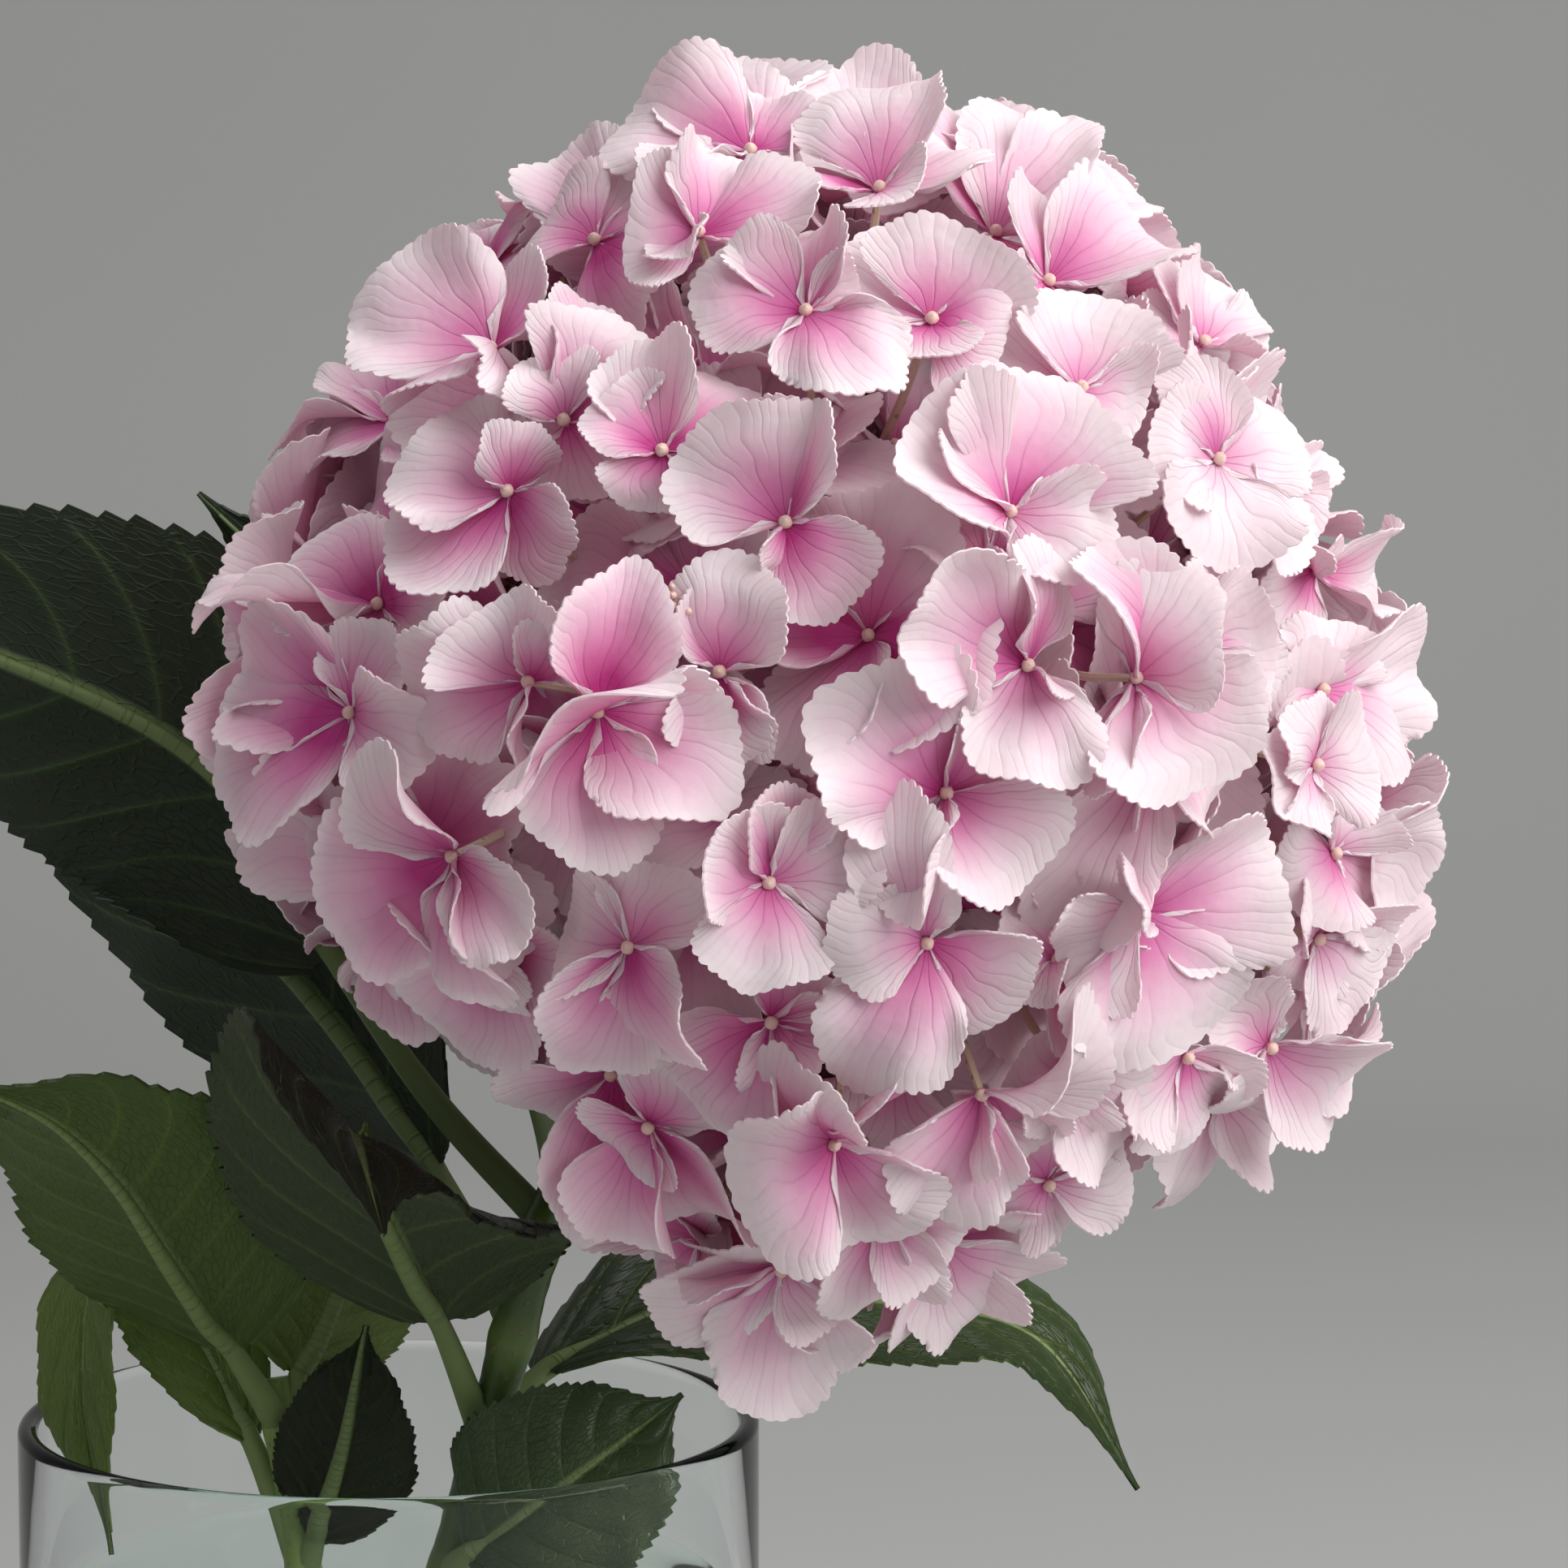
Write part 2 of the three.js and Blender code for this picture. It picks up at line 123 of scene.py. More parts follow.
class Curve:
    """A smooth centripetal curve through a few points, read by its share of the length."""

    SAMPLES = 60
    STEP = 0.01

    def __init__(self, points: list[Triple]) -> None:
        """Args: points: the points that the curve passes through."""
        p = np.array(points, float)
        p = np.vstack([2 * p[0] - p[1], p, 2 * p[-1] - p[-2]])
        knots = np.concatenate([[0], np.cumsum(np.linalg.norm(np.diff(p, axis=0), axis=1) ** 0.5)])
        rows = []
        for i in range(1, len(p) - 2):
            t = np.linspace(knots[i], knots[i + 1], self.SAMPLES, endpoint=i == len(p) - 3)[:, None]
            k, q = knots[i - 1 : i + 3], p[i - 1 : i + 3]
            a = [q[j] + (q[j + 1] - q[j]) * (t - k[j]) / (k[j + 1] - k[j]) for j in range(3)]
            b = [a[j] + (a[j + 1] - a[j]) * (t - k[j]) / (k[j + 2] - k[j]) for j in range(2)]
            rows.append(b[0] + (b[1] - b[0]) * (t - k[1]) / (k[2] - k[1]))
        self.points = np.vstack(rows)
        steps = np.linalg.norm(np.diff(self.points, axis=0), axis=1)
        self.lengths = np.concatenate([[0], np.cumsum(steps)])
        self.length = float(self.lengths[-1])

    def at(self, share: Array) -> Array:
        """Returns the points at those shares of the length."""
        s = np.atleast_1d(share) * self.length
        return np.stack([np.interp(s, self.lengths, self.points[:, k]) for k in range(3)], axis=-1)

    def along(self, share: Array) -> Array:
        """Returns the unit tangents at those shares of the length."""
        s = np.atleast_1d(share)
        return unit(self.at(np.minimum(s + self.STEP, 1)) - self.at(np.maximum(s - self.STEP, 0)))


# ---- meshes ----


def grid_triangles(rows: int, columns: int) -> Array:
    """Covers a grid of points that are numbered row by row.

    Args:
        rows: the number of rows.
        columns: the number of points in each.

    Returns:
        The triangles, as indices of the points.
    """
    a = (np.arange(rows - 1)[:, None] * columns + np.arange(columns - 1)[None, :]).ravel()
    b, c, d = a + 1, a + columns + 1, a + columns
    return np.concatenate([np.stack([a, b, c], 1), np.stack([a, c, d], 1)])


def wall_triangles(rings: int, sides: int) -> Array:
    """Covers the wall between rings of points that are numbered ring by ring.

    Args:
        rings: the number of rings.
        sides: the number of points in each.

    Returns:
        The triangles, as indices of the points.
    """
    i, j = np.meshgrid(np.arange(rings - 1), np.arange(sides), indexing="ij")
    a, b = (i * sides + j).ravel(), (i * sides + (j + 1) % sides).ravel()
    return np.concatenate([np.stack([a, b, b + sides], 1), np.stack([a, b + sides, a + sides], 1)])


def closed_wall(rings: int, sides: int) -> Array:
    """Covers the same wall and closes its ends.

    Args:
        rings: the number of rings.
        sides: the number of points in each.

    Returns:
        The triangles. The two ends' middles are the points that follow the rings' own.
    """
    ring = np.arange(sides)
    after = (ring + 1) % sides
    first, final = rings * sides, (rings - 1) * sides
    caps = [np.stack([np.full(sides, first), after, ring], 1),
            np.stack([np.full(sides, first + 1), final + ring, final + after], 1)]
    return np.concatenate([wall_triangles(rings, sides), *caps])


def surface_normals(points: Array, triangles: Array) -> Array:
    """Works out the normals of a triangle mesh.

    Args:
        points: its vertices.
        triangles: its faces, as indices of the points.

    Returns:
        The unit normal at each point.
    """
    a, b, c = (points[triangles[:, k]] for k in range(3))
    face = np.cross(b - a, c - a)
    total = np.zeros_like(points)
    for k in range(3):
        np.add.at(total, triangles[:, k], face)
    return unit(total)


class Mesh:
    """Gathers closed bodies, with their surface values, for one piece."""

    def __init__(self) -> None:
        """Starts with nothing in it."""
        self.points: list[Array] = []
        self.triangles: list[Array] = []
        self.values: dict[str, list[Array]] = {}
        self.count = 0

    def add(self, points: Array, triangles: Array, **values: Array | float) -> None:
        """Adds a body.

        Args:
            points: its vertices, in millimetres.
            triangles: its faces, as indices of the points, facing out.
            values: numbers for the material to read, one for each point or one for all.
        """
        self.points.append(points)
        self.triangles.append(triangles + self.count)
        for name, value in values.items():
            self.values.setdefault(name, []).append(np.broadcast_to(value, len(points)).astype(float))
        self.count += len(points)

    def add_sheet(self, upper: Array, triangles: Array, outline: Array, thickness: float,
                  **values: Array | float) -> None:
        """Adds a thin closed sheet.

        Args:
            upper: the points of its upper side.
            triangles: the faces of its upper side.
            outline: the indices of the points round its edge, anticlockwise from above.
            thickness: how far the lower side lies below the upper one.
            values: numbers for the material; under is added, 0 on the upper side and 1 on the lower.
        """
        count = len(upper)
        lower = upper - surface_normals(upper, triangles) * thickness
        a, b = outline, np.roll(outline, -1)
        rim = np.concatenate([np.stack([b, a, a + count], 1), np.stack([b, a + count, b + count], 1)])
        faces = np.concatenate([triangles, triangles[:, ::-1] + count, rim])
        both = {name: np.tile(np.broadcast_to(value, count), 2) for name, value in values.items()}
        under = np.repeat([0.0, 1.0], count)
        self.add(np.concatenate([upper, lower]), faces, under=under, **both)

    def add_tube(self, centres: Array, radii: Array, sides: int,
                 **values: Array | float) -> None:
        """Adds a tube with closed ends.

        Args:
            centres: the points of its centre line.
            radii: its radius at each of them.
            sides: the number of its sides.
            values: numbers for the material, one for each centre or one for all.
        """
        along = unit(np.gradient(centres, axis=0))
        across = np.empty_like(along)
        start = vec(1, 0, 0) if abs(along[0][0]) < 0.8 else vec(0, 1, 0)
        for i, tangent in enumerate(along):
            across[i] = start = square_to(start, tangent)
        other = np.cross(along, across)
        turn = round_angles(sides)
        ring = across[:, None] * np.cos(turn)[None, :, None] + other[:, None] * np.sin(turn)[None, :, None]
        points = centres[:, None] + ring * radii[:, None, None]
        spread = {}
        for name, value in values.items():
            per_ring = np.broadcast_to(value, len(centres))
            spread[name] = np.concatenate([np.repeat(per_ring, sides), per_ring[[0, -1]]])
        everything = np.concatenate([points.reshape(-1, 3), centres[[0, -1]]])
        self.add(everything, closed_wall(len(centres), sides), **spread)

    def add_turned(self, profile: Array, segments: int) -> None:
        """Adds a body turned about the Z axis.

        Args:
            profile: its radius and height from the lower middle outwards, up and back to the axis.
            segments: the number of steps round it.
        """
        inner = profile[1:-1]
        turn = round_angles(segments)
        around = np.stack([np.cos(turn), np.sin(turn)], 1)
        flat = inner[:, None, :1] * around[None]
        height = np.broadcast_to(inner[:, None, 1:], (len(inner), segments, 1))
        points = np.concatenate([flat, height], axis=2).reshape(-1, 3)
        poles = [[0, 0, profile[0][1]], [0, 0, profile[-1][1]]]
        self.add(np.concatenate([points, poles]), closed_wall(len(inner), segments))

    def piece(self, name: str, material: bpy.types.Material, slot: str, replaces: str,
              crease: float = 60.0) -> None:
        """Makes the gathered bodies one piece of the object, riding on its only body.

        Args:
            name: the piece's name.
            material: its finish.
            slot: the record's material slot; not used.
            replaces: the solid that it stands for.
            crease: the angle between faces, in degrees, above which an edge stays sharp.
        """
        points = np.concatenate(self.points) * MM
        triangles = np.concatenate(self.triangles)
        mesh = bpy.data.meshes.new(name)
        mesh.vertices.add(len(points))
        mesh.vertices.foreach_set("co", points.astype(np.float32).ravel())
        mesh.loops.add(triangles.size)
        mesh.loops.foreach_set("vertex_index", triangles.astype(np.int32).ravel())
        mesh.polygons.add(len(triangles))
        mesh.polygons.foreach_set("loop_start", np.arange(0, triangles.size, 3, dtype=np.int32))
        mesh.polygons.foreach_set("use_smooth", np.ones(len(triangles), dtype=bool))
        for key, parts in self.values.items():
            data = mesh.attributes.new(key, "FLOAT", "POINT").data
            data.foreach_set("value", np.concatenate(parts).astype(np.float32))
        mesh.update(calc_edges=True)
        mesh.validate()
        mesh.set_sharp_from_angle(angle=math.radians(crease))
        mesh.materials.append(material)
        piece = bpy.data.objects.new(name, mesh)
        bpy.context.scene.collection.objects.link(piece)
        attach(piece, BODY)
        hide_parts(replaces)
        log.info("%s: %d faces", name, len(triangles))


# ---- shader nodes ----

Node = bpy.types.Node
Socket = bpy.types.NodeSocket
Value = Socket | float


def linear(red: int, green: int, blue: int) -> tuple[float, float, float, float]:
    """Returns a screen colour, 0 to 255, as the light that it stands for."""
    parts = (c / 255 for c in (red, green, blue))
    return (*((c / 12.92 if c <= 0.04045 else ((c + 0.055) / 1.055) ** 2.4) for c in parts), 1.0)


class Graph:
    """Adds nodes to a material or to a node group."""

    def __init__(self, tree: bpy.types.NodeTree) -> None:
        """Args: tree: the node tree to add to."""
        self.tree = tree

    def node(self, kind: str, inputs: dict | None = None, **settings: object) -> Node:
        """Adds a node.

        Args:
            kind: the node's type in Blender.
            inputs: sockets or values for its inputs, by name or number.
            settings: its own properties.

        Returns:
            The node.
        """
        node = self.tree.nodes.new(kind)
        for key, value in settings.items():
            setattr(node, key, value)
        return self.fill(node, inputs or {})

    def fill(self, node: Node, inputs: dict) -> Node:
        """Fills in a node's inputs.

        Args:
            node: the node.
            inputs: sockets or values, by the name or number of the input.

        Returns:
            The node.
        """
        for key, value in inputs.items():
            self.plug(value, node.inputs[key])
        return node

    def plug(self, value: object, socket: Socket) -> None:
        """Links a socket to an input, or sets the input to a value.

        Args:
            value: the socket or the value.
            socket: the input.
        """
        if isinstance(value, bpy.types.NodeSocket):
            self.tree.links.new(value, socket)
        else:
            socket.default_value = value

    def math(self, operation: str, *values: Value) -> Socket:
        """Returns the result of one sum on one or two numbers."""
        return self.node("ShaderNodeMath", dict(enumerate(values)), operation=operation).outputs[0]

    def times(self, first: Value, second: Value) -> Socket:
        """Returns the product of two numbers."""
        return self.math("MULTIPLY", first, second)

    def plus(self, first: Value, second: Value) -> Socket:
        """Returns the sum of two numbers."""
        return self.math("ADD", first, second)

    def minus(self, first: Value, second: Value) -> Socket:
        """Returns the first number less the second."""
        return self.math("SUBTRACT", first, second)

    def fit(self, value: Socket, low: float, high: float, to_low: float = 0, to_high: float = 1) -> Socket:
        """Returns the value moved from one range to another along a smooth step."""
        inputs = {"Value": value, "From Min": low, "From Max": high, "To Min": to_low, "To Max": to_high}
        return self.node("ShaderNodeMapRange", inputs, interpolation_type="SMOOTHSTEP").outputs[0]

    def mix(self, factor: Value, first: object, second: object, blend: str = "MIX") -> Socket:
        """Returns two colours mixed."""
        inputs = {0: factor, 6: first, 7: second}
        return self.node("ShaderNodeMix", inputs, data_type="RGBA", blend_type=blend).outputs[2]

    def ramp(self, factor: Socket, stops: list[tuple[float, tuple]]) -> Socket:
        """Adds a ramp of colours.

        Args:
            factor: the place on it, 0 to 1.
            stops: its stops, each a place and a colour.

        Returns:
            The colour at that place.
        """
        node = self.node("ShaderNodeValToRGB", {0: factor})
        ramp = node.color_ramp
        while len(ramp.elements) < len(stops):
            ramp.elements.new(0.5)
        for element, (place, colour) in zip(ramp.elements, stops):
            element.position = place
            element.color = colour
        return node.outputs[0]

    def noise(self, place: Socket, scale: Value, detail: float) -> Socket:
        """Returns a soft noise from 0 to 1, at a scale in one over metres where place is the surface."""
        inputs = {"Scale": scale, "Detail": detail, "Vector": place}
        return self.node("ShaderNodeTexNoise", inputs).outputs[0]

    def cells(self, place: Socket, scale: Value, feature: str = "F1") -> Socket:
        """Returns how far a place lies from the middle, or from the edge, of its cell in a pattern."""
        inputs = {"Vector": place, "Scale": scale}
        return self.node("ShaderNodeTexVoronoi", inputs, feature=feature).outputs["Distance"]

    def place(self) -> Socket:
        """Returns the point on the surface, in the part's frame."""
        return self.node("ShaderNodeTexCoord").outputs["Object"]

    def read(self, name: str) -> Socket:
        """Returns the value that the mesh holds under that name."""
        return self.node("ShaderNodeAttribute", attribute_name=name).outputs["Fac"]

    def combine(self, *values: Value) -> Socket:
        """Returns three numbers as a vector."""
        return self.node("ShaderNodeCombineXYZ", dict(enumerate(values))).outputs[0]

    def effect(self, group: bpy.types.NodeTree, inputs: dict) -> bpy.types.bpy_prop_collection:
        """Adds a shared effect and returns its outputs."""
        return self.node("ShaderNodeGroup", inputs, node_tree=group).outputs

    def bump(self, height: Socket, depth: float, strength: float, shader: Node) -> Socket:
        """Gives a shader a bumpy surface.

        Args:
            height: the height of the bumps, 0 to 1.
            depth: how far that reaches, in metres.
            strength: how much of it shows, 0 to 1.
            shader: the shader.

        Returns:
            The normal.
        """
        inputs = {"Height": height, "Distance": depth, "Strength": strength}
        normal = self.node("ShaderNodeBump", inputs).outputs[0]
        self.plug(normal, shader.inputs["Normal"])
        return normal

    def show_both(self, share: Value, shader: Node, second: Node, output: Node) -> None:
        """Shows a shader on the material's output, mixed with a share of a second one."""
        both = self.node("ShaderNodeMixShader", {0: share, 1: shader.outputs[0], 2: second.outputs[0]})
        self.plug(both.outputs[0], output.inputs["Surface"])


class Effects:
    """The effects that more than one finish uses, each a node group built once."""

    def __init__(self) -> None:
        """Builds the groups."""
        self.fan = self._fan_veins()
        self.pinnate = self._pinnate_veins()
        self.blister = self._blister()

    @staticmethod
    def _begin(name: str, inputs: dict[str, float], outputs: tuple[str, ...]) -> tuple[Graph, dict, Node]:
        """Starts a group.

        Args:
            name: its name.
            inputs: its number inputs with their defaults.
            outputs: the names of its number outputs.

        Returns:
            The graph, its inputs by name and its output node.
        """
        tree = bpy.data.node_groups.new(name, "ShaderNodeTree")
        for key, value in inputs.items():
            socket = tree.interface.new_socket(key, in_out="INPUT", socket_type="NodeSocketFloat")
            socket.default_value = value
        for key in outputs:
            tree.interface.new_socket(key, in_out="OUTPUT", socket_type="NodeSocketFloat")
        graph = Graph(tree)
        source = tree.nodes.new("NodeGroupInput")
        return graph, {key: source.outputs[key] for key in inputs}, tree.nodes.new("NodeGroupOutput")

    def _fan_veins(self) -> bpy.types.NodeTree:
        """Draws the veins that spread from a sepal's base and fork on their way to its margin.

        Returns:
            The group. Its mask is 1 on a vein.
        """
        graph, given, end = self._begin(
            "fan veins", {"Across": 0.5, "Along": 0.5, "Kind": 0.0, "Veins": 9.0}, ("Mask",))
        place = graph.combine(graph.times(given["Across"], 2.0), given["Along"], given["Kind"])
        wander = graph.noise(place, 1.6, 1)
        bend = graph.times(graph.minus(wander, 0.5), 0.2)
        lane = graph.plus(given["Across"], bend)

        def lines(count: Value, sharp: float) -> Socket:
            """Returns that many lines from the base, narrower where sharp is greater."""
            wave = graph.math("SINE", graph.times(graph.times(lane, count), math.pi))
            return graph.math("POWER", graph.minus(1.0, graph.math("ABSOLUTE", wave)), sharp)

        main = lines(given["Veins"], 5.0)
        forks = graph.times(lines(graph.times(given["Veins"], 2.0), 4.0),
                           graph.fit(given["Along"], 0.35, 0.7, 0.0, 0.7))
        twigs = graph.times(lines(graph.times(given["Veins"], 4.0), 3.0),
                           graph.fit(given["Along"], 0.6, 0.9, 0.0, 0.4))
        graph.plug(graph.math("MAXIMUM", main, graph.math("MAXIMUM", forks, twigs)), end.inputs["Mask"])
        return graph.tree

    def _pinnate_veins(self) -> bpy.types.NodeTree:
        """Draws a leaf's midrib, its side veins that sweep towards the tip, and the net between them.

        Returns:
            The group. Its masks are 1 on the lines.
        """
        graph, given, end = self._begin(
            "leaf veins", {"Across": 0.0, "Along": 0.5, "Pairs": 8.0, "Sweep": 0.24},
            ("Veins", "Net", "Midrib"))
        side = graph.math("ABSOLUTE", given["Across"])
        swept = graph.minus(given["Along"], graph.times(graph.math("POWER", side, 1.25), given["Sweep"]))
        lane = graph.times(graph.times(swept, given["Pairs"]), math.pi)
        near = graph.minus(1.0, graph.math("ABSOLUTE", graph.math("SINE", lane)))
        thin = graph.times(graph.math("POWER", near, 9.0), graph.fit(side, 0.75, 1.0, 1.0, 0.1))
        midrib = graph.fit(side, 0.025, 0.07, 1.0, 0.0)
        place = graph.combine(graph.times(given["Across"], 0.6), swept, 0.0)
        edges = graph.cells(place, 34.0, "DISTANCE_TO_EDGE")
        graph.fill(end, {"Veins": graph.math("MAXIMUM", midrib, thin), "Midrib": midrib,
                         "Net": graph.fit(edges, 0.0, 0.1, 1.0, 0.0)})
        return graph.tree

    def _blister(self) -> bpy.types.NodeTree:
        """Makes the fine puckering of living tissue. Size is the width of a cell in millimetres.

        Returns:
            The group, which puts out a height.
        """
        graph, given, end = self._begin("blister", {"Size": 1.3}, ("Height",))
        scale = graph.math("DIVIDE", 1.0, graph.times(given["Size"], MM))
        cells = graph.cells(graph.place(), scale, "SMOOTH_F1")
        grain = graph.noise(graph.place(), graph.times(scale, 0.7), 3)
        height = graph.plus(graph.minus(1.0, cells), grain)
        graph.plug(graph.times(height, 0.5), end.inputs["Height"])
        return graph.tree


def new_material(name: str) -> tuple[bpy.types.Material, Graph, Node, Node]:
    """Starts a material.

    Args:
        name: its name.

    Returns:
        The material, its graph, its Principled shader and its output.
    """
    material = bpy.data.materials.new(name)
    material.use_nodes = True
    graph = Graph(material.node_tree)
    nodes = material.node_tree.nodes
    return material, graph, nodes["Principled BSDF"], nodes["Material Output"]


@dataclass(frozen=True)
class SepalFinish:
    """The sepals: magenta at the base, through pink to cream at the margin, with a near-white edge that is
    the margin's own pale colour and partly a painted highlight, and letting light through.
    """

    heart: tuple = linear(216, 72, 158)
    blush: tuple = linear(240, 150, 202)
    pale: tuple = linear(249, 213, 232)
    cream: tuple = linear(253, 247, 250)
    # the margin's edge colour, partly a painted highlight
    rim: tuple = linear(255, 254, 254)
    vein: tuple = linear(222, 116, 180)
    glow: tuple = linear(255, 188, 208)
    through: float = 0.33
    roughness: float = 0.62
    specular: float = 0.35
    sheen: Pair = (0.15, 0.4)
    relief: float = 0.0003

    def make(self, effects: Effects) -> bpy.types.Material:
        """Builds the finish.

        Args:
            effects: the shared node groups.

        Returns:
            The material. It reads across, along, under, kind and tone from the mesh; the last is the sepal's
            paleness with painted light on the head's right side.
        """
        material, graph, shader, output = new_material("sepal")
        across, along, under = (graph.read(key) for key in ("across", "along", "under"))
        kind, tone = graph.read("kind"), graph.read("tone")
        veins = graph.effect(effects.fan, {"Across": across, "Along": along, "Kind": kind})["Mask"]
        blister = graph.effect(effects.blister, {})["Height"]
        cloud = graph.minus(graph.noise(graph.place(), 90.0, 3), 0.5)
        # The tone lifts the level towards cream: the sepal's own paleness, plus painted light that makes the
        # head's right side paler.
        level = graph.plus(along, graph.plus(graph.times(tone, 0.5), graph.times(cloud, 0.35)))
        stops = [(0.02, self.heart), (0.26, self.blush), (0.55, self.pale), (0.85, self.cream)]
        colour = graph.ramp(level, stops)
        strength = graph.times(veins, graph.fit(along, 0.15, 0.9, 0.28, 0.04))
        colour = graph.mix(strength, colour, self.vein)
        # Near-white edge at the margin: the margin's own pale colour, partly a painted highlight along the
        # edge.
        colour = graph.mix(graph.fit(along, 0.9, 1.0, 0.0, 0.6), colour, self.rim)
        colour = graph.mix(graph.times(under, 0.35), colour, self.cream)
        height = graph.minus(graph.times(blister, 0.6), graph.times(veins, 0.45))
        normal = graph.bump(height, self.relief, 0.8, shader)
        rough = graph.fit(blister, 0.3, 0.8, self.roughness - 0.08, self.roughness + 0.1)
        graph.fill(shader, {"Base Color": colour, "Roughness": rough, "Specular IOR Level": self.specular,
                            "Sheen Weight": self.sheen[0], "Sheen Roughness": self.sheen[1]})
        warm = graph.mix(0.55, colour, self.glow, "MULTIPLY")
        through = graph.node("ShaderNodeBsdfTranslucent", {"Color": warm, "Normal": normal})
        graph.show_both(self.through, shader, through, output)
        return material


@dataclass(frozen=True)
class BudFinish:
    """The closed buds in the florets' middles."""

    crown: tuple = linear(232, 200, 186)
    foot: tuple = linear(206, 110, 146)
    relief: float = 0.0002

    def make(self) -> bpy.types.Material:
        """Builds the finish.

        Returns:
            The material. It reads along from the mesh.
        """
        material, graph, shader, _ = new_material("bud")
        cloud = graph.noise(graph.place(), 700.0, 2)
        level = graph.plus(graph.read("along"), graph.times(graph.minus(cloud, 0.5), 0.5))
        colour = graph.ramp(level, [(0.2, self.foot), (0.6, self.crown)])
        graph.bump(cloud, self.relief, 0.6, shader)
        graph.fill(shader, {"Base Color": colour, "Roughness": graph.fit(cloud, 0.2, 0.8, 0.4, 0.6)})
        return material


class Growth(Enum):
    """How old a green shoot is, which sets its colour."""

    YOUNG = ("young green", linear(96, 128, 52), linear(140, 160, 84))
    RIPE = ("ripe green", linear(46, 72, 28), linear(104, 128, 60))
    INNER = ("inner stalk", linear(196, 150, 150), linear(214, 206, 168))


@dataclass(frozen=True)
class StalkFinish:
    """The green skin of a stem or stalk, with small corky specks."""

    growth: Growth
    speck: tuple = linear(120, 96, 70)
    roughness: float = 0.42
    relief: float = 0.0003

    def make(self) -> bpy.types.Material:
        """Builds the finish.

        Returns:
            The material. It reads joint from the mesh, 1 at a swelling.
        """
        name, base, light = self.growth.value
        material, graph, shader, _ = new_material(name)
        cloud = graph.noise(graph.place(), 60.0, 4)
        spot = graph.fit(graph.cells(graph.place(), 420.0), 0.1, 0.22, 1.0, 0.0)
        young = graph.plus(graph.times(cloud, 0.5), graph.times(graph.read("joint"), 0.5))
        colour = graph.mix(young, base, light)
        colour = graph.mix(graph.times(spot, 0.6), colour, self.speck)
        rough = graph.fit(cloud, 0.2, 0.8, self.roughness - 0.08, self.roughness + 0.12)
        graph.fill(shader, {"Base Color": colour, "Roughness": rough})
        height = graph.plus(graph.times(spot, 0.6), graph.noise(graph.place(), 500.0, 3))
        graph.bump(height, self.relief, 0.6, shader)
        return material


@dataclass(frozen=True)
class LeafFinish:
    """One leaf's finish: a dark waxy upper side, a paler matt lower side and pale veins."""

    name: str
    upper: tuple
    under: tuple
    vein: tuple = linear(112, 132, 84)
    rib: tuple = linear(136, 156, 98)
    through: float = 0.22
    glow: tuple = linear(120, 150, 40)
    relief: float = 0.0007

    def make(self, effects: Effects) -> bpy.types.Material:
        """Builds the finish.

        Args:
            effects: the shared node groups.

        Returns:
            The material. It reads across, along and under from the mesh.
        """
        material, graph, shader, output = new_material(self.name)
        across, along, under = (graph.read(key) for key in ("across", "along", "under"))
        pattern = graph.effect(effects.pinnate, {"Across": across, "Along": along})
        veins, net = pattern["Veins"], pattern["Net"]
        blister = graph.effect(effects.blister, {"Size": 2.2})["Height"]
        cloud = graph.noise(graph.place(), 45.0, 4)
        light = graph.mix(graph.fit(cloud, 0.3, 0.75), self.upper, self.under)
        top = graph.mix(graph.times(0.35, cloud), self.upper, light)
        back = graph.mix(graph.times(cloud, 0.35), self.under, self.upper)
        colour = graph.mix(under, top, back)
        show = graph.plus(graph.times(under, 0.25), 0.45)
        colour = graph.mix(graph.times(veins, show), colour, self.vein)
        colour = graph.mix(graph.times(net, 0.12), colour, self.vein)
        colour = graph.mix(graph.times(pattern["Midrib"], 0.7), colour, self.rib)
        sign = graph.minus(graph.times(under, 2.0), 1.0)
        relief = graph.plus(graph.times(veins, 0.8), graph.times(net, 0.35))
        height = graph.plus(graph.times(relief, sign), graph.times(blister, 0.4))
        graph.bump(height, self.relief, 0.7, shader)
        rough = graph.plus(graph.fit(cloud, 0.2, 0.8, 0.34, 0.46), graph.times(under, 0.2))
        graph.fill(shader, {"Base Color": colour, "Roughness": rough})
        through = graph.node("ShaderNodeBsdfTranslucent", {"Color": graph.mix(0.7, colour, self.glow)})
        graph.show_both(self.through, shader, through, output)
        return material


@dataclass(frozen=True)
class ClearFinish:
    """Glass or water: clear, and open to the lamps behind it."""

    name: str
    tint: tuple
    bend: float
    ripple: float = 0.0

    def make(self) -> bpy.types.Material:
        """Builds the finish.

        Returns:
            The material, with a faint waviness in its surface, ripple millimetres high.
        """
        material, graph, shader, output = new_material(self.name)
        wave = graph.noise(graph.place(), 26.0, 2)
        graph.fill(shader, {"Base Color": self.tint, "Transmission Weight": 1.0, "IOR": self.bend,
                            "Roughness": graph.fit(wave, 0.3, 0.8, 0.0, 0.02)})
        graph.bump(wave, self.ripple * MM, 1.0, shader)
        lamp = graph.node("ShaderNodeLightPath").outputs["Is Shadow Ray"]
        clear = graph.node("ShaderNodeBsdfTransparent", {"Color": self.tint})
        graph.show_both(lamp, shader, clear, output)
        return material


# ---- the photograph's view ----


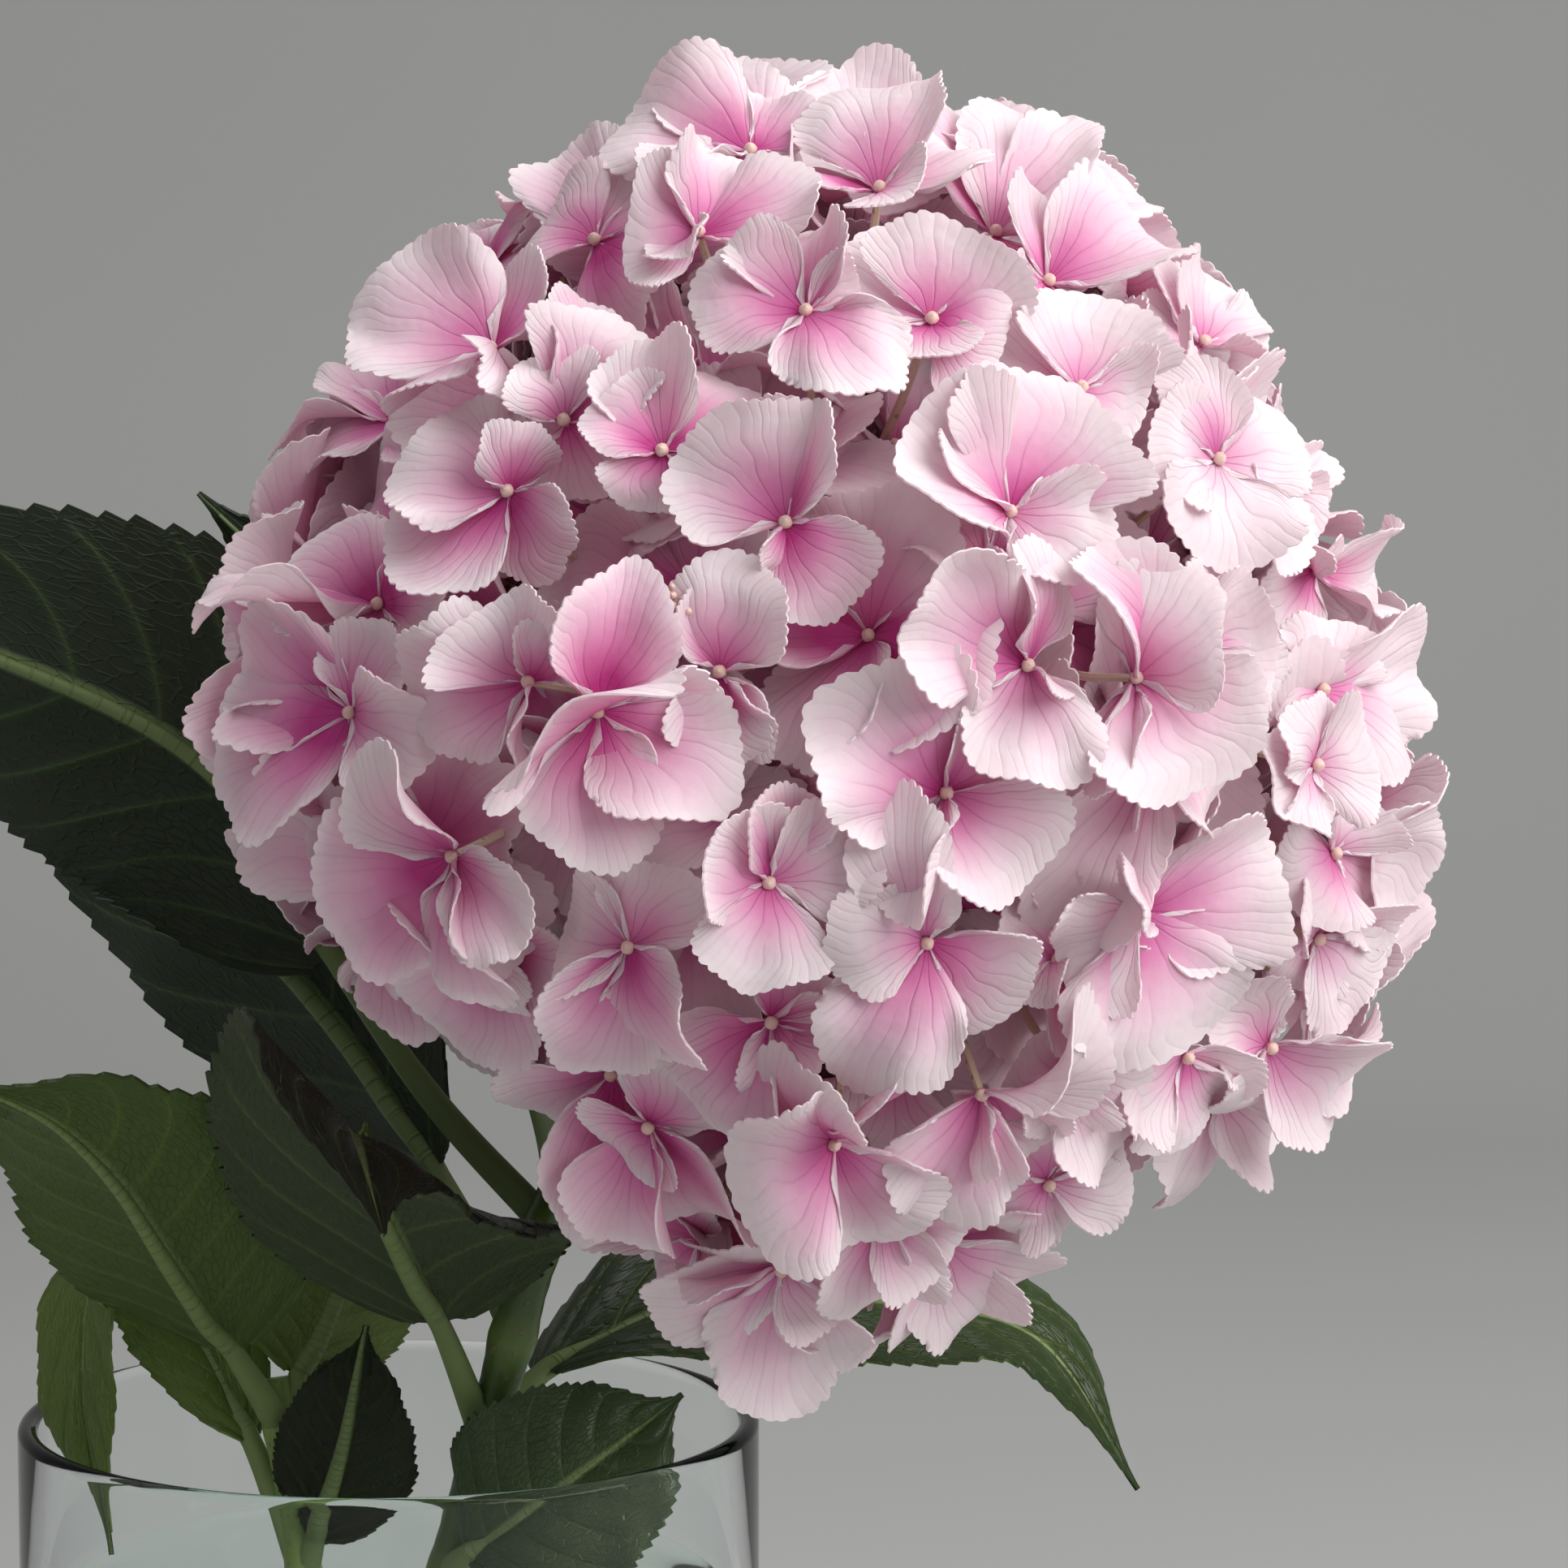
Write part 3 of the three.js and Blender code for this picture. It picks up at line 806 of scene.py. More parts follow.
@dataclass(frozen=True)
class PhotoView:
    """The camera that took the photograph, in the part's frame."""

    stand: Triple = (58.7, -853.8, 381.7)
    down: float = 6.5
    frame_px: int = 1932
    focal_px: float = 7200.0
    sensor: float = 36.0

    @property
    def axes(self) -> tuple[Array, Array, Array]:
        """Returns the directions right, up and ahead in the view."""
        tilt = math.radians(self.down)
        return vec(1, 0, 0), vec(0, math.sin(tilt), math.cos(tilt)), vec(0, math.cos(tilt), -math.sin(tilt))

    @property
    def place(self) -> Array:
        """Returns the camera's place."""
        return vec(*self.stand)

    def back_from(self, point: Array) -> Array:
        """Returns the direction from a point to the camera."""
        return unit(self.place - point)

    def ray(self, seen: Pair) -> Array:
        """Follows the sight of a pixel.

        Args:
            seen: the pixel of the photograph.

        Returns:
            The way there from the camera, 1 deep.
        """
        right, up, ahead = self.axes
        middle = self.frame_px / 2
        return ahead + right * (seen[0] - middle) / self.focal_px - up * (seen[1] - middle) / self.focal_px

    def on_plane(self, seen: Pair, point: Array, normal: Array) -> Array:
        """Returns where a pixel's ray meets the plane through a point."""
        ray = self.ray(seen)
        return self.place + ray * (normal @ (point - self.place)) / (normal @ ray)

    def off_ray(self, seen: Pair, point: Array) -> float:
        """Returns how far a point lies from a pixel's ray."""
        return float(np.linalg.norm(np.cross(unit(self.ray(seen)), point - self.place)))

    def within(self, point: Array, middle: Array, reach: float) -> Array:
        """Moves a point along its own line of sight until it is within reach of another.

        Args:
            point: the point.
            middle: the other one.
            reach: how far apart they may be.

        Returns:
            The moved point.
        """
        way = unit(point - self.place)
        nearest = point + way * ((middle - point) @ way)
        aside = float(np.linalg.norm(nearest - middle))
        ahead = float((point - nearest) @ way)
        most = math.sqrt(max(reach**2 - aside**2, 0))
        return nearest + way * max(-most, min(most, ahead))

    def make(self) -> None:
        """Adds the camera to the scene."""
        data = bpy.data.cameras.new("photo_view")
        data.sensor_width = self.sensor
        data.lens = self.focal_px / self.frame_px * self.sensor
        data.clip_end = 20.0
        camera = bpy.data.objects.new("photo_view", data)
        camera.location = self.place * MM
        camera.rotation_euler = (math.radians(90 - self.down), 0, 0)
        bpy.context.scene.collection.objects.link(camera)
        bpy.context.scene.camera = camera


VIEW = PhotoView()


# ---- flower head ----


@dataclass(frozen=True)
class Lobe:
    """A soft swelling or hollow of the head: its direction, its rise and its spread in degrees."""

    toward: Triple
    rise: float
    spread: float


@dataclass(frozen=True)
class SeenSepal:
    """A sepal by where its tip shows in the photograph.

    x and y are the tip's pixel, half is the sepal's half width, lift is how far the tip comes towards the
    viewer out of the floret's plane, roll is its turn about its own length in degrees, cup is the rise of its
    margins as a share of the half width, and bow is the rise of its middle as a share of the length. A cup or
    bow that the photograph doesn't settle is left to chance.
    """

    x: float
    y: float
    half: float
    lift: float = 0.0
    roll: float = 0.0
    cup: float | None = None
    bow: float | None = None


@dataclass(frozen=True)
class SeenFloret:
    """A floret by the pixel of its eye, with its rise above the ball of eyes and its sepals."""

    x: float
    y: float
    rise: float
    sepals: tuple[SeenSepal, ...]


S, F = SeenSepal, SeenFloret
SEEN_FLORETS = (
    # upper left
    F(608, 432, 4, (S(452, 352, 10.5, 3), S(648, 318, 7, -2), S(640, 498, 6, 6, 60),
                    S(474, 500, 6, 3, 45))),
    F(600, 335, -5, (S(512, 247, 6, 0, 40), S(470, 330, 8), S(690, 300, 7), S(640, 250, 6, -2))),
    F(492, 520, -7, (S(302, 548, 4.5, 0, 55), S(388, 565, 7, 1), S(425, 440, 7, -3), S(560, 545, 6, -2))),
    F(628, 607, 2, (S(497, 545, 9.5, 2, 0, 0.1, 0), S(483, 706, 9.5, 2, 0, 0.1, 0), S(700, 695, 7, 2, 50),
                    S(645, 520, 5, 4, 60))),
    F(697, 520, 1, (S(660, 436, 6, 5, 0, 0.5), S(785, 398, 9, 2), S(712, 348, 5, 0, 60),
                    S(735, 610, 6, -2))),
    F(817, 557, 3, (S(804, 412, 6.5, 1), S(905, 458, 8, -1), S(737, 488, 6, 3, 35), S(792, 632, 6, 2))),
    F(968, 645, 2, (S(868, 515, 10, 1), S(1005, 485, 7, 5, -35), S(1050, 750, 7, 0, 25),
                    S(955, 716, 5, 1, -50))),
    F(470, 745, -4, (S(372, 672, 9.5, 3), S(204, 742, 5, -6, 60), S(560, 690, 7, -2),
                     S(450, 840, 6, -2))),
    F(653, 840, 1, (S(485, 845, 9.5, 2), S(605, 738, 8.5, 1), S(628, 955, 5, 1, 55),
                    S(705, 770, 5, 2, 60))),
    F(738, 877, 4, (S(776, 697, 7.5, 4, 15), S(890, 980, 9.5, 3), S(728, 1078, 8, 4),
                    S(690, 862, 14.5, 16, 60, 0.15, 0.05))),
    F(887, 828, 0, (S(928, 690, 8, 2), S(852, 722, 4.5, 4, 40), S(958, 925, 4, 1, 60),
                    S(885, 945, 6, -2))),
    # left
    F(435, 878, 0, (S(296, 800, 9, 1), S(266, 968, 11, 2), S(545, 905, 7.5, -1), S(482, 770, 6.5, -2))),
    F(560, 1054, 2, (S(400, 1130, 11, 3), S(455, 930, 8, 9, -15, 0.6), S(655, 1180, 6, 6, 25),
                     S(600, 1235, 6, 4, 35, 0.4))),
    F(428, 1030, -8, (S(287, 1085, 4.5, 0, 55), S(360, 960, 7), S(500, 1110, 7), S(480, 960, 6))),
    F(625, 1165, -5, (S(540, 1290, 9.5, 1), S(686, 1210, 6, 1, 30), S(640, 1252, 4, 3, 50),
                      S(560, 1120, 6, -2))),
    F(775, 1165, 1, (S(692, 1135, 7.5, -1), S(832, 1066, 7.5, 1), S(710, 1322, 7.5, 0),
                     S(850, 1322, 8, 4))),
    # middle
    F(948, 1086, 4, (S(965, 962, 5, 3, 15), S(868, 1040, 7.5, 6, 20, 0.3), S(920, 1220, 8, 6),
                     S(1078, 1012, 7, 0, 25))),
    F(1165, 976, 1, (S(1022, 862, 12, 4), S(1270, 1095, 9, 4), S(1222, 888, 7, -3, 25),
                     S(1116, 1145, 5, 5, 60, 0.1, 0))),
    F(1141, 1160, 4, (S(1114, 968, 6, 5, -25), S(1014, 1150, 6.5, 4, 35), S(1060, 1345, 8.5, 3),
                      S(1245, 1250, 9, -3))),
    F(951, 1257, -1, (S(992, 1180, 5.5, -2), S(858, 1380, 9, 0), S(1040, 1260, 6, -2),
                      S(965, 1345, 6, -2))),
    F(1243, 632, 3, (S(1310, 478, 12.5, 1), S(1092, 565, 10, 1), S(1138, 548, 4, 8, 60),
                     S(1370, 680, 7.5, 3))),
    F(1215, 700, 1, (S(1242, 740, 5, 5, 60), S(1130, 640, 6, -3), S(1280, 640, 6, -3))),
    F(1265, 820, 4, (S(1122, 720, 9, 8, 15, 0.3), S(1272, 665, 4.5, 6, 30), S(1280, 972, 8.5, 5),
                     S(1325, 860, 5, 3, 60))),
    F(1397, 835, 4, (S(1328, 680, 6, 9, 50), S(1498, 730, 9.5, 5), S(1494, 975, 12, 5),
                     S(1356, 985, 4.5, 7, 60))),
    F(1470, 800, -2, (S(1568, 790, 9), S(1500, 700, 8), S(1560, 900, 8), S(1420, 780, 7))),
    F(1403, 1123, 2, (S(1578, 1075, 10, 3, 0, 0.1), S(1457, 1305, 13, 3, 0, 0.1, 0),
                      S(1290, 1175, 8.5, -1), S(1410, 1088, 5, 11, 85, 0, 0))),
    F(1425, 925, -1, (S(1286, 1170, 7.5, 6, 20), S(1500, 990, 8, -2), S(1400, 1020, 6, -3),
                      S(1450, 880, 6, -2))),
    F(1300, 1180, -3, (S(1284, 1245, 4.5, 6, 60), S(1240, 1120, 7), S(1360, 1240, 8))),
    # top
    F(1083, 236, 1, (S(1090, 98, 9.5, 1, 0, 0.1), S(1195, 165, 8, 1), S(950, 196, 5, 1, 20, 0.1, 0),
                     S(1120, 250, 6, 3))),
    F(925, 190, 0, (S(765, 118, 10, 1, 0, 0.1), S(872, 78, 9, 0, 0, 0.1), S(972, 118, 8, 0, 0, 0, 0),
                    S(788, 215, 5, 3, 45))),
    F(862, 290, 1, (S(892, 188, 7.5, 2, 20), S(1022, 235, 7, 1), S(836, 328, 4.5, 3, 55),
                    S(770, 290, 9, 0))),
    F(993, 386, 3, (S(858, 335, 8.5, 1), S(985, 272, 7.5, 1), S(1082, 506, 8, 3),
                    S(1060, 380, 7, 1, 30))),
    F(1147, 396, 3, (S(1190, 275, 10.5, 2), S(1070, 290, 9, 1), S(1236, 425, 8, 1), S(1150, 446, 6, 2))),
    F(735, 300, -3, (S(664, 262, 8, 0), S(700, 165, 7, 0), S(800, 380, 8, 1), S(820, 250, 8, -1))),
    F(1225, 290, -2, (S(1300, 145, 9, 0), S(1150, 110, 9, -2), S(1390, 210, 9, -1), S(1280, 400, 7, 0))),
    F(1290, 350, 0, (S(1312, 252, 9.5, 1), S(1440, 290, 9.5, 0), S(1345, 470, 8, -1),
                     S(1240, 420, 7, -1))),
    F(1330, 480, 1, (S(1343, 362, 10, 3), S(1405, 520, 8, 2), S(1250, 500, 8, -1), S(1180, 470, 8, 0))),
    # right
    F(1498, 568, 2, (S(1425, 540, 8, 1), S(1446, 442, 5.5, 2, 30), S(1590, 512, 9, 1),
                     S(1495, 700, 9.5, 3))),
    F(1480, 425, -2, (S(1490, 335, 8, 0), S(1560, 450, 9, 0), S(1400, 440, 7, 0), S(1430, 310, 8, -1))),
    F(1565, 610, -2, (S(1648, 590, 5, 0, 40), S(1590, 505, 7.5), S(1625, 655, 5, 3, 40),
                      S(1480, 660, 7))),
    F(1620, 705, -1, (S(1712, 660, 7, 0, 25), S(1590, 640, 6, 3, 30), S(1716, 750, 6, 2, -25),
                      S(1560, 760, 7))),
    F(1625, 850, -1, (S(1762, 815, 8), S(1640, 760, 8, 1), S(1735, 920, 9), S(1580, 900, 6, 2, 40))),
    F(1618, 942, 1, (S(1690, 930, 8, 1), S(1625, 1010, 7, 1), S(1560, 985, 7, 0), S(1600, 880, 6, 1))),
    F(1640, 1050, 0, (S(1758, 1062, 9, 1), S(1660, 980, 8, 0), S(1690, 1140, 8, 0), S(1590, 1110, 8, 1))),
    F(1620, 1155, 0, (S(1668, 1242, 8, 2), S(1720, 1150, 7, 0), S(1600, 1090, 8, 1),
                      S(1590, 1220, 6, 0))),
    F(1562, 1288, 0, (S(1697, 1270, 6, 1, 35), S(1662, 1345, 8.5, 0), S(1520, 1380, 9, -1),
                      S(1500, 1240, 7, -2))),
    F(1500, 1340, -3, (S(1480, 1480, 9.5, 0), S(1590, 1400, 8, -1), S(1430, 1300, 7, 1),
                       S(1560, 1290, 7))),
    F(1460, 1300, -1, (S(1432, 1425, 9.5, 3), S(1370, 1320, 8, 1), S(1510, 1360, 7, 0))),
    # bottom
    F(1028, 1406, 3, (S(900, 1440, 13.5, 9, 0, 0.6), S(975, 1305, 8.5, 6, -40), S(1167, 1298, 6, 6, 60),
                     S(1115, 1535, 9, 0))),
    F(1208, 1345, 2, (S(1357, 1250, 6, 4, 50), S(1182, 1445, 6, 3, 60), S(1140, 1505, 8.5, 1),
                      S(1270, 1420, 7, -2))),
    F(1315, 1330, 0, (S(1302, 1402, 6.5, 3, 0, 0.4), S(1360, 1280, 7, 1), S(1250, 1300, 7, -1),
                      S(1390, 1420, 8, -2))),
    F(800, 1385, -1, (S(762, 1432, 7.5, 3, 35), S(905, 1515, 10, 0), S(802, 1535, 7, 0, 35),
                      S(850, 1310, 7, -2))),
    F(755, 1320, -5, (S(652, 1375, 10, 0), S(735, 1535, 9, -1), S(690, 1260, 8, -1),
                      S(830, 1370, 7, -2))),
    F(963, 1560, -3, (S(965, 1722, 9.8, 2), S(803, 1637, 7, 0), S(835, 1560, 6, -2),
                      S(1050, 1600, 7, -3))),
    F(1085, 1490, -3, (S(1075, 1615, 8, 1), S(1015, 1560, 7, 0), S(1180, 1540, 8, 0),
                       S(1010, 1440, 6, 0))),
    F(1160, 1530, -5, (S(1235, 1610, 10, 0), S(1150, 1632, 9, 0), S(1275, 1510, 8.5, 0),
                       S(1100, 1470, 7, 0))),
    F(1290, 1455, -4, (S(1395, 1430, 8, 0), S(1340, 1490, 8, 0), S(1220, 1500, 7, 0),
                       S(1270, 1370, 7, 0))),
)


@dataclass
class SepalForm:
    """A sepal in the part's frame. face is the way that it looks, and tone its paleness: its own random tone
    plus painted light, paler on the head's right side where the light falls.
    """

    base: Array
    tip: Array
    face: Array
    half: float
    cup: float
    bow: float
    tone: float


class Floret(NamedTuple):
    """A floret in the part's frame: its middle, the way that it looks, and its sepals."""

    eye: Array
    axis: Array
    forms: list[SepalForm]


@dataclass
class SepalShape:
    """Builds the sepals' meshes.

    reach is how far the outline runs round from the tip on either side, as a share of half a turn, and claw
    the half width of the narrow base. tooth is a tooth's height, and twist the most that a tip turns, in
    degrees. side_curl, tip_curl and ruffle are ranges for how far the sides, the tip and the margin's waves
    stand out of the plane, and wrinkle how far the small folds do, on a sepal that is as long as usual. phase
    is the range for a wave's start, and round_x and round_y are ranges for the powers that round the outline.
    """

    thickness: float = 0.26
    reach: float = 0.93
    columns: int = 30
    rows: int = 10
    last_row: float = 0.93
    tooth: float = 0.42
    claw: float = 0.7
    twist: float = 28.0
    side_curl: Pair = (-3.0, 4.2)
    tip_curl: Pair = (-2.6, 4.6)
    ruffle: Pair = (0.3, 1.9)
    round_x: Pair = (0.82, 1.08)
    round_y: Pair = (0.85, 1.15)
    wrinkle: float = 0.16
    wrinkles: int = 3
    usual_length: float = 20
    usual_half: float = 11
    phase: float = 6.3

    def add(self, mesh: Mesh, form: SepalForm, rng: Chance,
            limit: Callable[[Array], Array]) -> None:
        """Adds one sepal.

        Args:
            mesh: the piece that it goes into.
            form: its place and curve.
            rng: the source of its small irregularities.
            limit: draws in the points that stand out too far.
        """
        across, along, outline_x, outline_y = self._outline(rng)
        rows = 1 - (1 - np.linspace(0, 1, self.rows)) ** 1.15
        rows[-2] = self.last_row
        inner = rows[:-1, None]
        fine = np.linspace(0, self.columns, 3 * self.columns + 1)
        coarse = fine[::3].astype(int) * 3
        x = np.concatenate([(inner * outline_x[None, coarse]).ravel(), outline_x])
        y = np.concatenate([(inner * outline_y[None, coarse]).ravel(), outline_y])
        u = np.concatenate([np.broadcast_to(across[coarse], (len(inner), len(coarse))).ravel(), across])
        t = np.concatenate([np.broadcast_to(inner, (len(inner), len(coarse))).ravel(), along])
        points = limit(self._bent(form, x, y, u, t, rng))
        base = points[: len(coarse)]
        points[: len(coarse)] = form.base + (base - base.mean(0)) + self._claw(form, u[: len(coarse)])
        triangles, edge = self._faces(len(inner), len(coarse))
        kind = rng.uniform(0, 40)
        mesh.add_sheet(points, triangles, edge, self.thickness,
                       across=u, along=t, kind=kind, tone=form.tone)

    def _claw(self, form: SepalForm, u: Array) -> Array:
        """Gives the narrow base its width.

        Args:
            form: the sepal's place and curve.
            u: the places across the base, 0 to 1.

        Returns:
            The offsets of the base points.
        """
        along = unit(form.tip - form.base)
        side = np.cross(along, square_to(form.face, along))
        return (u[:, None] - 0.5) * 2 * self.claw * side

    def _outline(self, rng: Chance) -> tuple[Array, ...]:
        """Draws the margin.

        Args:
            rng: the source of its irregularities.

        Returns:
            Its places across and along, 0 to 1, and its x and y, in half widths and in lengths.
        """
        fine = 3 * self.columns + 1
        across = np.linspace(0, 1, fine)
        angle = (across * 2 - 1) * self.reach * math.pi
        round_x, round_y = rng.uniform(*self.round_x), rng.uniform(*self.round_y)
        x = np.sign(angle) * np.abs(np.sin(angle)) ** round_x
        y = 0.55 + 0.45 * np.sign(np.cos(angle)) * np.abs(np.cos(angle)) ** round_y
        y += rng.uniform(-0.05, 0.05) * np.exp(-((angle / 0.25) ** 2))
        swell = 1 + 0.05 * np.sin(3 * angle + rng.uniform(0, self.phase))
        swell = swell + 0.04 * np.sin(5 * angle + rng.uniform(0, self.phase))
        teeth = np.where(np.arange(fine) % 3 == 0, -1.0, 0.35) * rng.uniform(0.4, 1.2, fine)
        depth = self.tooth / self.usual_half * teeth * (1 - smooth(0.5, 0.8, np.abs(angle) / math.pi))
        grow = swell + depth
        return across, np.ones(fine), x * grow, 0.5 + (y - 0.5) * grow

    def _bent(self, form: SepalForm, x: Array, y: Array, u: Array, t: Array,
              rng: Chance) -> Array:
        """Bends the flat outline.

        Args:
            form: the sepal's place and curve.
            x: the places across, in half widths.
            y: the places along, in lengths.
            u: the places along the margin, 0 to 1.
            t: the places between base and margin, 0 to 1.
            rng: the source of its irregularities.

        Returns:
            The points on the sepal's curved surface.
        """
        span = form.tip - form.base
        length = float(np.linalg.norm(span))
        along = span / length
        face = square_to(form.face, along)
        side = np.cross(along, face)
        turn = np.radians(rng.uniform(-self.twist, self.twist)) * y[:, None]
        facing = face * np.cos(turn) + side * np.sin(turn)
        sideways = side * np.cos(turn) - face * np.sin(turn)
        size = length / self.usual_length
        lift = form.cup * form.half * np.abs(x) ** 1.6 + form.bow * length * 4 * y * (1 - y)
        for way in (-1, 1):
            lift = lift + size * rng.uniform(*self.side_curl) * smooth(0.45, 1.1, way * x) * (0.4 + 0.6 * y)
        lift = lift - size * rng.uniform(*self.tip_curl) * smooth(0.6, 1.1, y) ** 1.5
        waves = rng.integers(2, 5)
        ruffle = np.sin(waves * 2 * math.pi * u + rng.uniform(0, self.phase))
        free = 1 - smooth(0.42, 0.5, np.abs(u - 0.5))
        lift = lift + size * rng.uniform(*self.ruffle) * t**3 * ruffle * free
        for _ in range(self.wrinkles):
            way = rng.uniform(-1, 1, 2) * 9
            fold = np.sin(way[0] * x + way[1] * y + rng.uniform(0, self.phase))
            lift = lift + size * self.wrinkle * fold * smooth(0.1, 0.5, t)
        return form.base + along * (y * length)[:, None] + sideways * (x * form.half)[:, None] \
            + facing * lift[:, None]

    def _faces(self, rows: int, columns: int) -> tuple[Array, Array]:
        """Covers the upper side, whose margin is three times finer than its rows.

        Args:
            rows: the number of coarse rows.
            columns: the number of points in each.

        Returns:
            The triangles, and the points round the edge in order.
        """
        triangles = [grid_triangles(rows, columns)]
        a = (rows - 1) * columns + np.arange(columns - 1)
        b = a + 1
        margin = rows * columns
        f = margin + 3 * np.arange(columns - 1)
        for corners in ((a, b, f + 2), (a, f + 2, f + 1), (a, f + 1, f), (b, f + 3, f + 2)):
            triangles.append(np.stack(corners, 1))
        right = np.arange(1, rows) * columns + columns - 1
        left = np.arange(rows - 1, 0, -1) * columns
        end = margin + np.arange(3 * (columns - 1), -1, -1)
        return np.concatenate(triangles), np.concatenate([np.arange(columns), right, end, left])


@dataclass
class FlowerHead:
    """The mophead: a ball of florets on branching stalks.

    eye_share, inner_share and tip_share say how far out the eyes of the outer and the inner florets and the
    tips of grown sepals lie, as shares of the head's radius. Grown florets lie deeper by up to sunk on the
    viewer's side, and at low_share of that where their eye comes within low_reach of the sight of a pixel in
    kept_low. Sepals may stand out to edge_room of the radius, and by front_room more towards the viewer.
    Beyond that only the share slack is kept. A seen floret looks at the viewer by toward_viewer, and the
    plane of its tips is turned to face them by plane_want where it does so by less than plane_least. apart is
    the least way between eyes, and stem_gap the angle round the stem without florets. length, cup and bow are
    ranges for the sepals, stray and stray_roll the chance in the seen ones' lift and roll, and longest the
    most that a seen tip lies from its eye. The scatters are the chance in the grown ones' place, turn, roll
    and tone. branch and twig are a stalk's radius at its start and its loss to the end, knee the length of
    its straight end, and knot the cluster of small buds that shows among the florets.
    """

    centre: Triple = (62.5, -57.8, 300.6)
    semi_axes: Triple = (82, 82, 84)
    lobes: tuple[Lobe, ...] = (
        Lobe((-0.15, -0.1, 1), 9.5, 30),
        Lobe((-0.05, -0.3, -1), 12, 22),
        Lobe((0.8, -0.2, -0.6), 8, 26),
        Lobe((-0.95, -0.5, -0.12), 6, 30),
        Lobe((-0.75, -0.15, -0.75), -22, 28),
        Lobe((0.5, 0.1, -0.85), -8, 18),
        Lobe((-0.55, 0.2, 0.85), -8, 16),
        Lobe((-0.93, 0, 0.35), -7, 15),
        Lobe((0.8, 0, 0.6), -4, 17),
    )
    eye_share: float = 0.88
    tip_share: float = 0.97
    outer_florets: int = 150
    inner_florets: int = 90
    inner_share: float = 0.7
    sunk: float = 0.1
    kept_low: tuple[Pair, ...] = ((768, 199), (1054, 206), (1251, 1476))
    low_reach: float = 3.0
    low_share: float = 0.82
    front_room: float = 0.05
    edge_room: float = 1.02
    slack: float = 0.4
    apart: float = 17.0
    stem_gap: float = 22.0
    length: Pair = (19, 25)
    cup: Pair = (-0.1, 0.6)
    bow: Pair = (-0.04, 0.18)
    stray: float = 2.2
    stray_roll: float = 12.0
    longest: float = 27.0
    seen_width: float = 1.12
    scatter: float = 0.05
    depth_scatter: Pair = (-0.04, 0.03)
    axis_scatter: float = 0.2
    inner_apart: float = 0.8
    inner_size: float = 0.9
    turn_scatter: Pair = (-9, 9)
    rise: Pair = (-0.3, 0.5)
    roll_scatter: float = 22
    half_share: Pair = (0.45, 0.6)
    # Painted light: the next field sets how much paler the sepals grow towards the head's right side, where
    # the light falls, and the one after it sets over how many millimetres.
    painted_light_right: float = 0.5
    painted_light_reach: float = 80
    tone_start: float = -0.12
    tone_scatter: float = 0.2
    toward_viewer: float = 0.45
    plane_least: float = 0.6
    plane_want: float = 0.75
    search_depth: float = 110.0
    search_steps: int = 221
    sectors: int = 12
    branches: int = 16
    fork_share: float = 0.38
    branch: Pair = (1.7, 0.6)
    twig: Pair = (0.75, 0.2)
    knee: float = 8
    bud_size: float = 0.95
    knot: SeenFloret = SeenFloret(820, 748, 4, ())
    knot_buds: int = 16
    knot_size: float = 0.55
    stem_top: Triple = (43, -41, 266)

    @property
    def middle(self) -> Array:
        """Returns the head's centre."""
        return vec(*self.centre)

    def radius(self, direction: Array) -> Array:
        """Works out the head's radius.

        Args:
            direction: a unit vector, or a row of them.

        Returns:
            The radius in that direction, or in each of them.
        """
        size = 1 / np.linalg.norm(direction / vec(*self.semi_axes), axis=-1)
        for lobe in self.lobes:
            angle = np.degrees(np.arccos(np.clip(direction @ unit(vec(*lobe.toward)), -1, 1)))
            size = size + lobe.rise * np.exp(-((angle / lobe.spread) ** 2))
        return size

    def tucked(self, points: Array) -> Array:
        """Draws a sepal in where it stands out of the head's outline.

        Args:
            points: the sepal's points.

        Returns:
            The points, drawn in.
        """
        out = points - self.middle
        far = np.linalg.norm(out, axis=1)
        way = out / far[:, None]
        facing = np.maximum(0.0, way @ VIEW.back_from(self.middle))
        most = self.radius(way) * (self.edge_room + self.front_room * facing)
        drawn = np.where(far > most, most + (far - most) * self.slack, far)
        return self.middle + way * drawn[:, None]

    def eye_of(self, seen: SeenFloret) -> Array:
        """Finds the eye of a floret of the photograph.

        Args:
            seen: the floret as the photograph shows it.

        Returns:
            The point on the sight of its pixel that lies at the depth of the eyes.
        """
        stand, ray = VIEW.place, VIEW.ray((seen.x, seen.y))
        near = (self.middle - stand) @ ray / (ray @ ray)
        for depth in np.linspace(near - self.search_depth, near, self.search_steps):
            point = stand + ray * depth
            out = point - self.middle
            if np.linalg.norm(out) <= self.eye_share * self.radius(unit(out)) + seen.rise:
                return point
        return stand + ray * near

    def seen_floret(self, seen: SeenFloret, rng: Chance) -> Floret:
        """Works out a floret of the photograph.

        Args:
            seen: the floret as the photograph shows it.
            rng: the source of its chance lifts, rolls, curves and tones.

        Returns:
            The floret in the part's frame.
        """
        eye = self.eye_of(seen)
        to_viewer = VIEW.back_from(eye)
        axis = unit(unit(eye - self.middle) + self.toward_viewer * to_viewer)
        plane = axis
        if plane @ to_viewer < self.plane_least:
            plane = unit(axis + (self.plane_want - axis @ to_viewer) * to_viewer)
        forms = []
        for sepal in seen.sepals:
            tip = VIEW.on_plane((sepal.x, sepal.y), eye, plane)
            tip = tip + VIEW.back_from(tip) * (sepal.lift + rng.normal(0, self.stray))
            tip = VIEW.within(tip, eye, self.longest)
            along = unit(tip - eye)
            face = rolled(square_to(axis, along), along, sepal.roll + rng.normal(0, self.stray_roll))
            cup = rng.uniform(*self.cup) if sepal.cup is None else sepal.cup
            bow = rng.uniform(*self.bow) if sepal.bow is None else sepal.bow
            half = sepal.half * self.seen_width
            forms.append(SepalForm(eye, tip, face, half, cup, bow, self._tone_and_painted_light(eye, rng)))
        return Floret(eye, axis, forms)

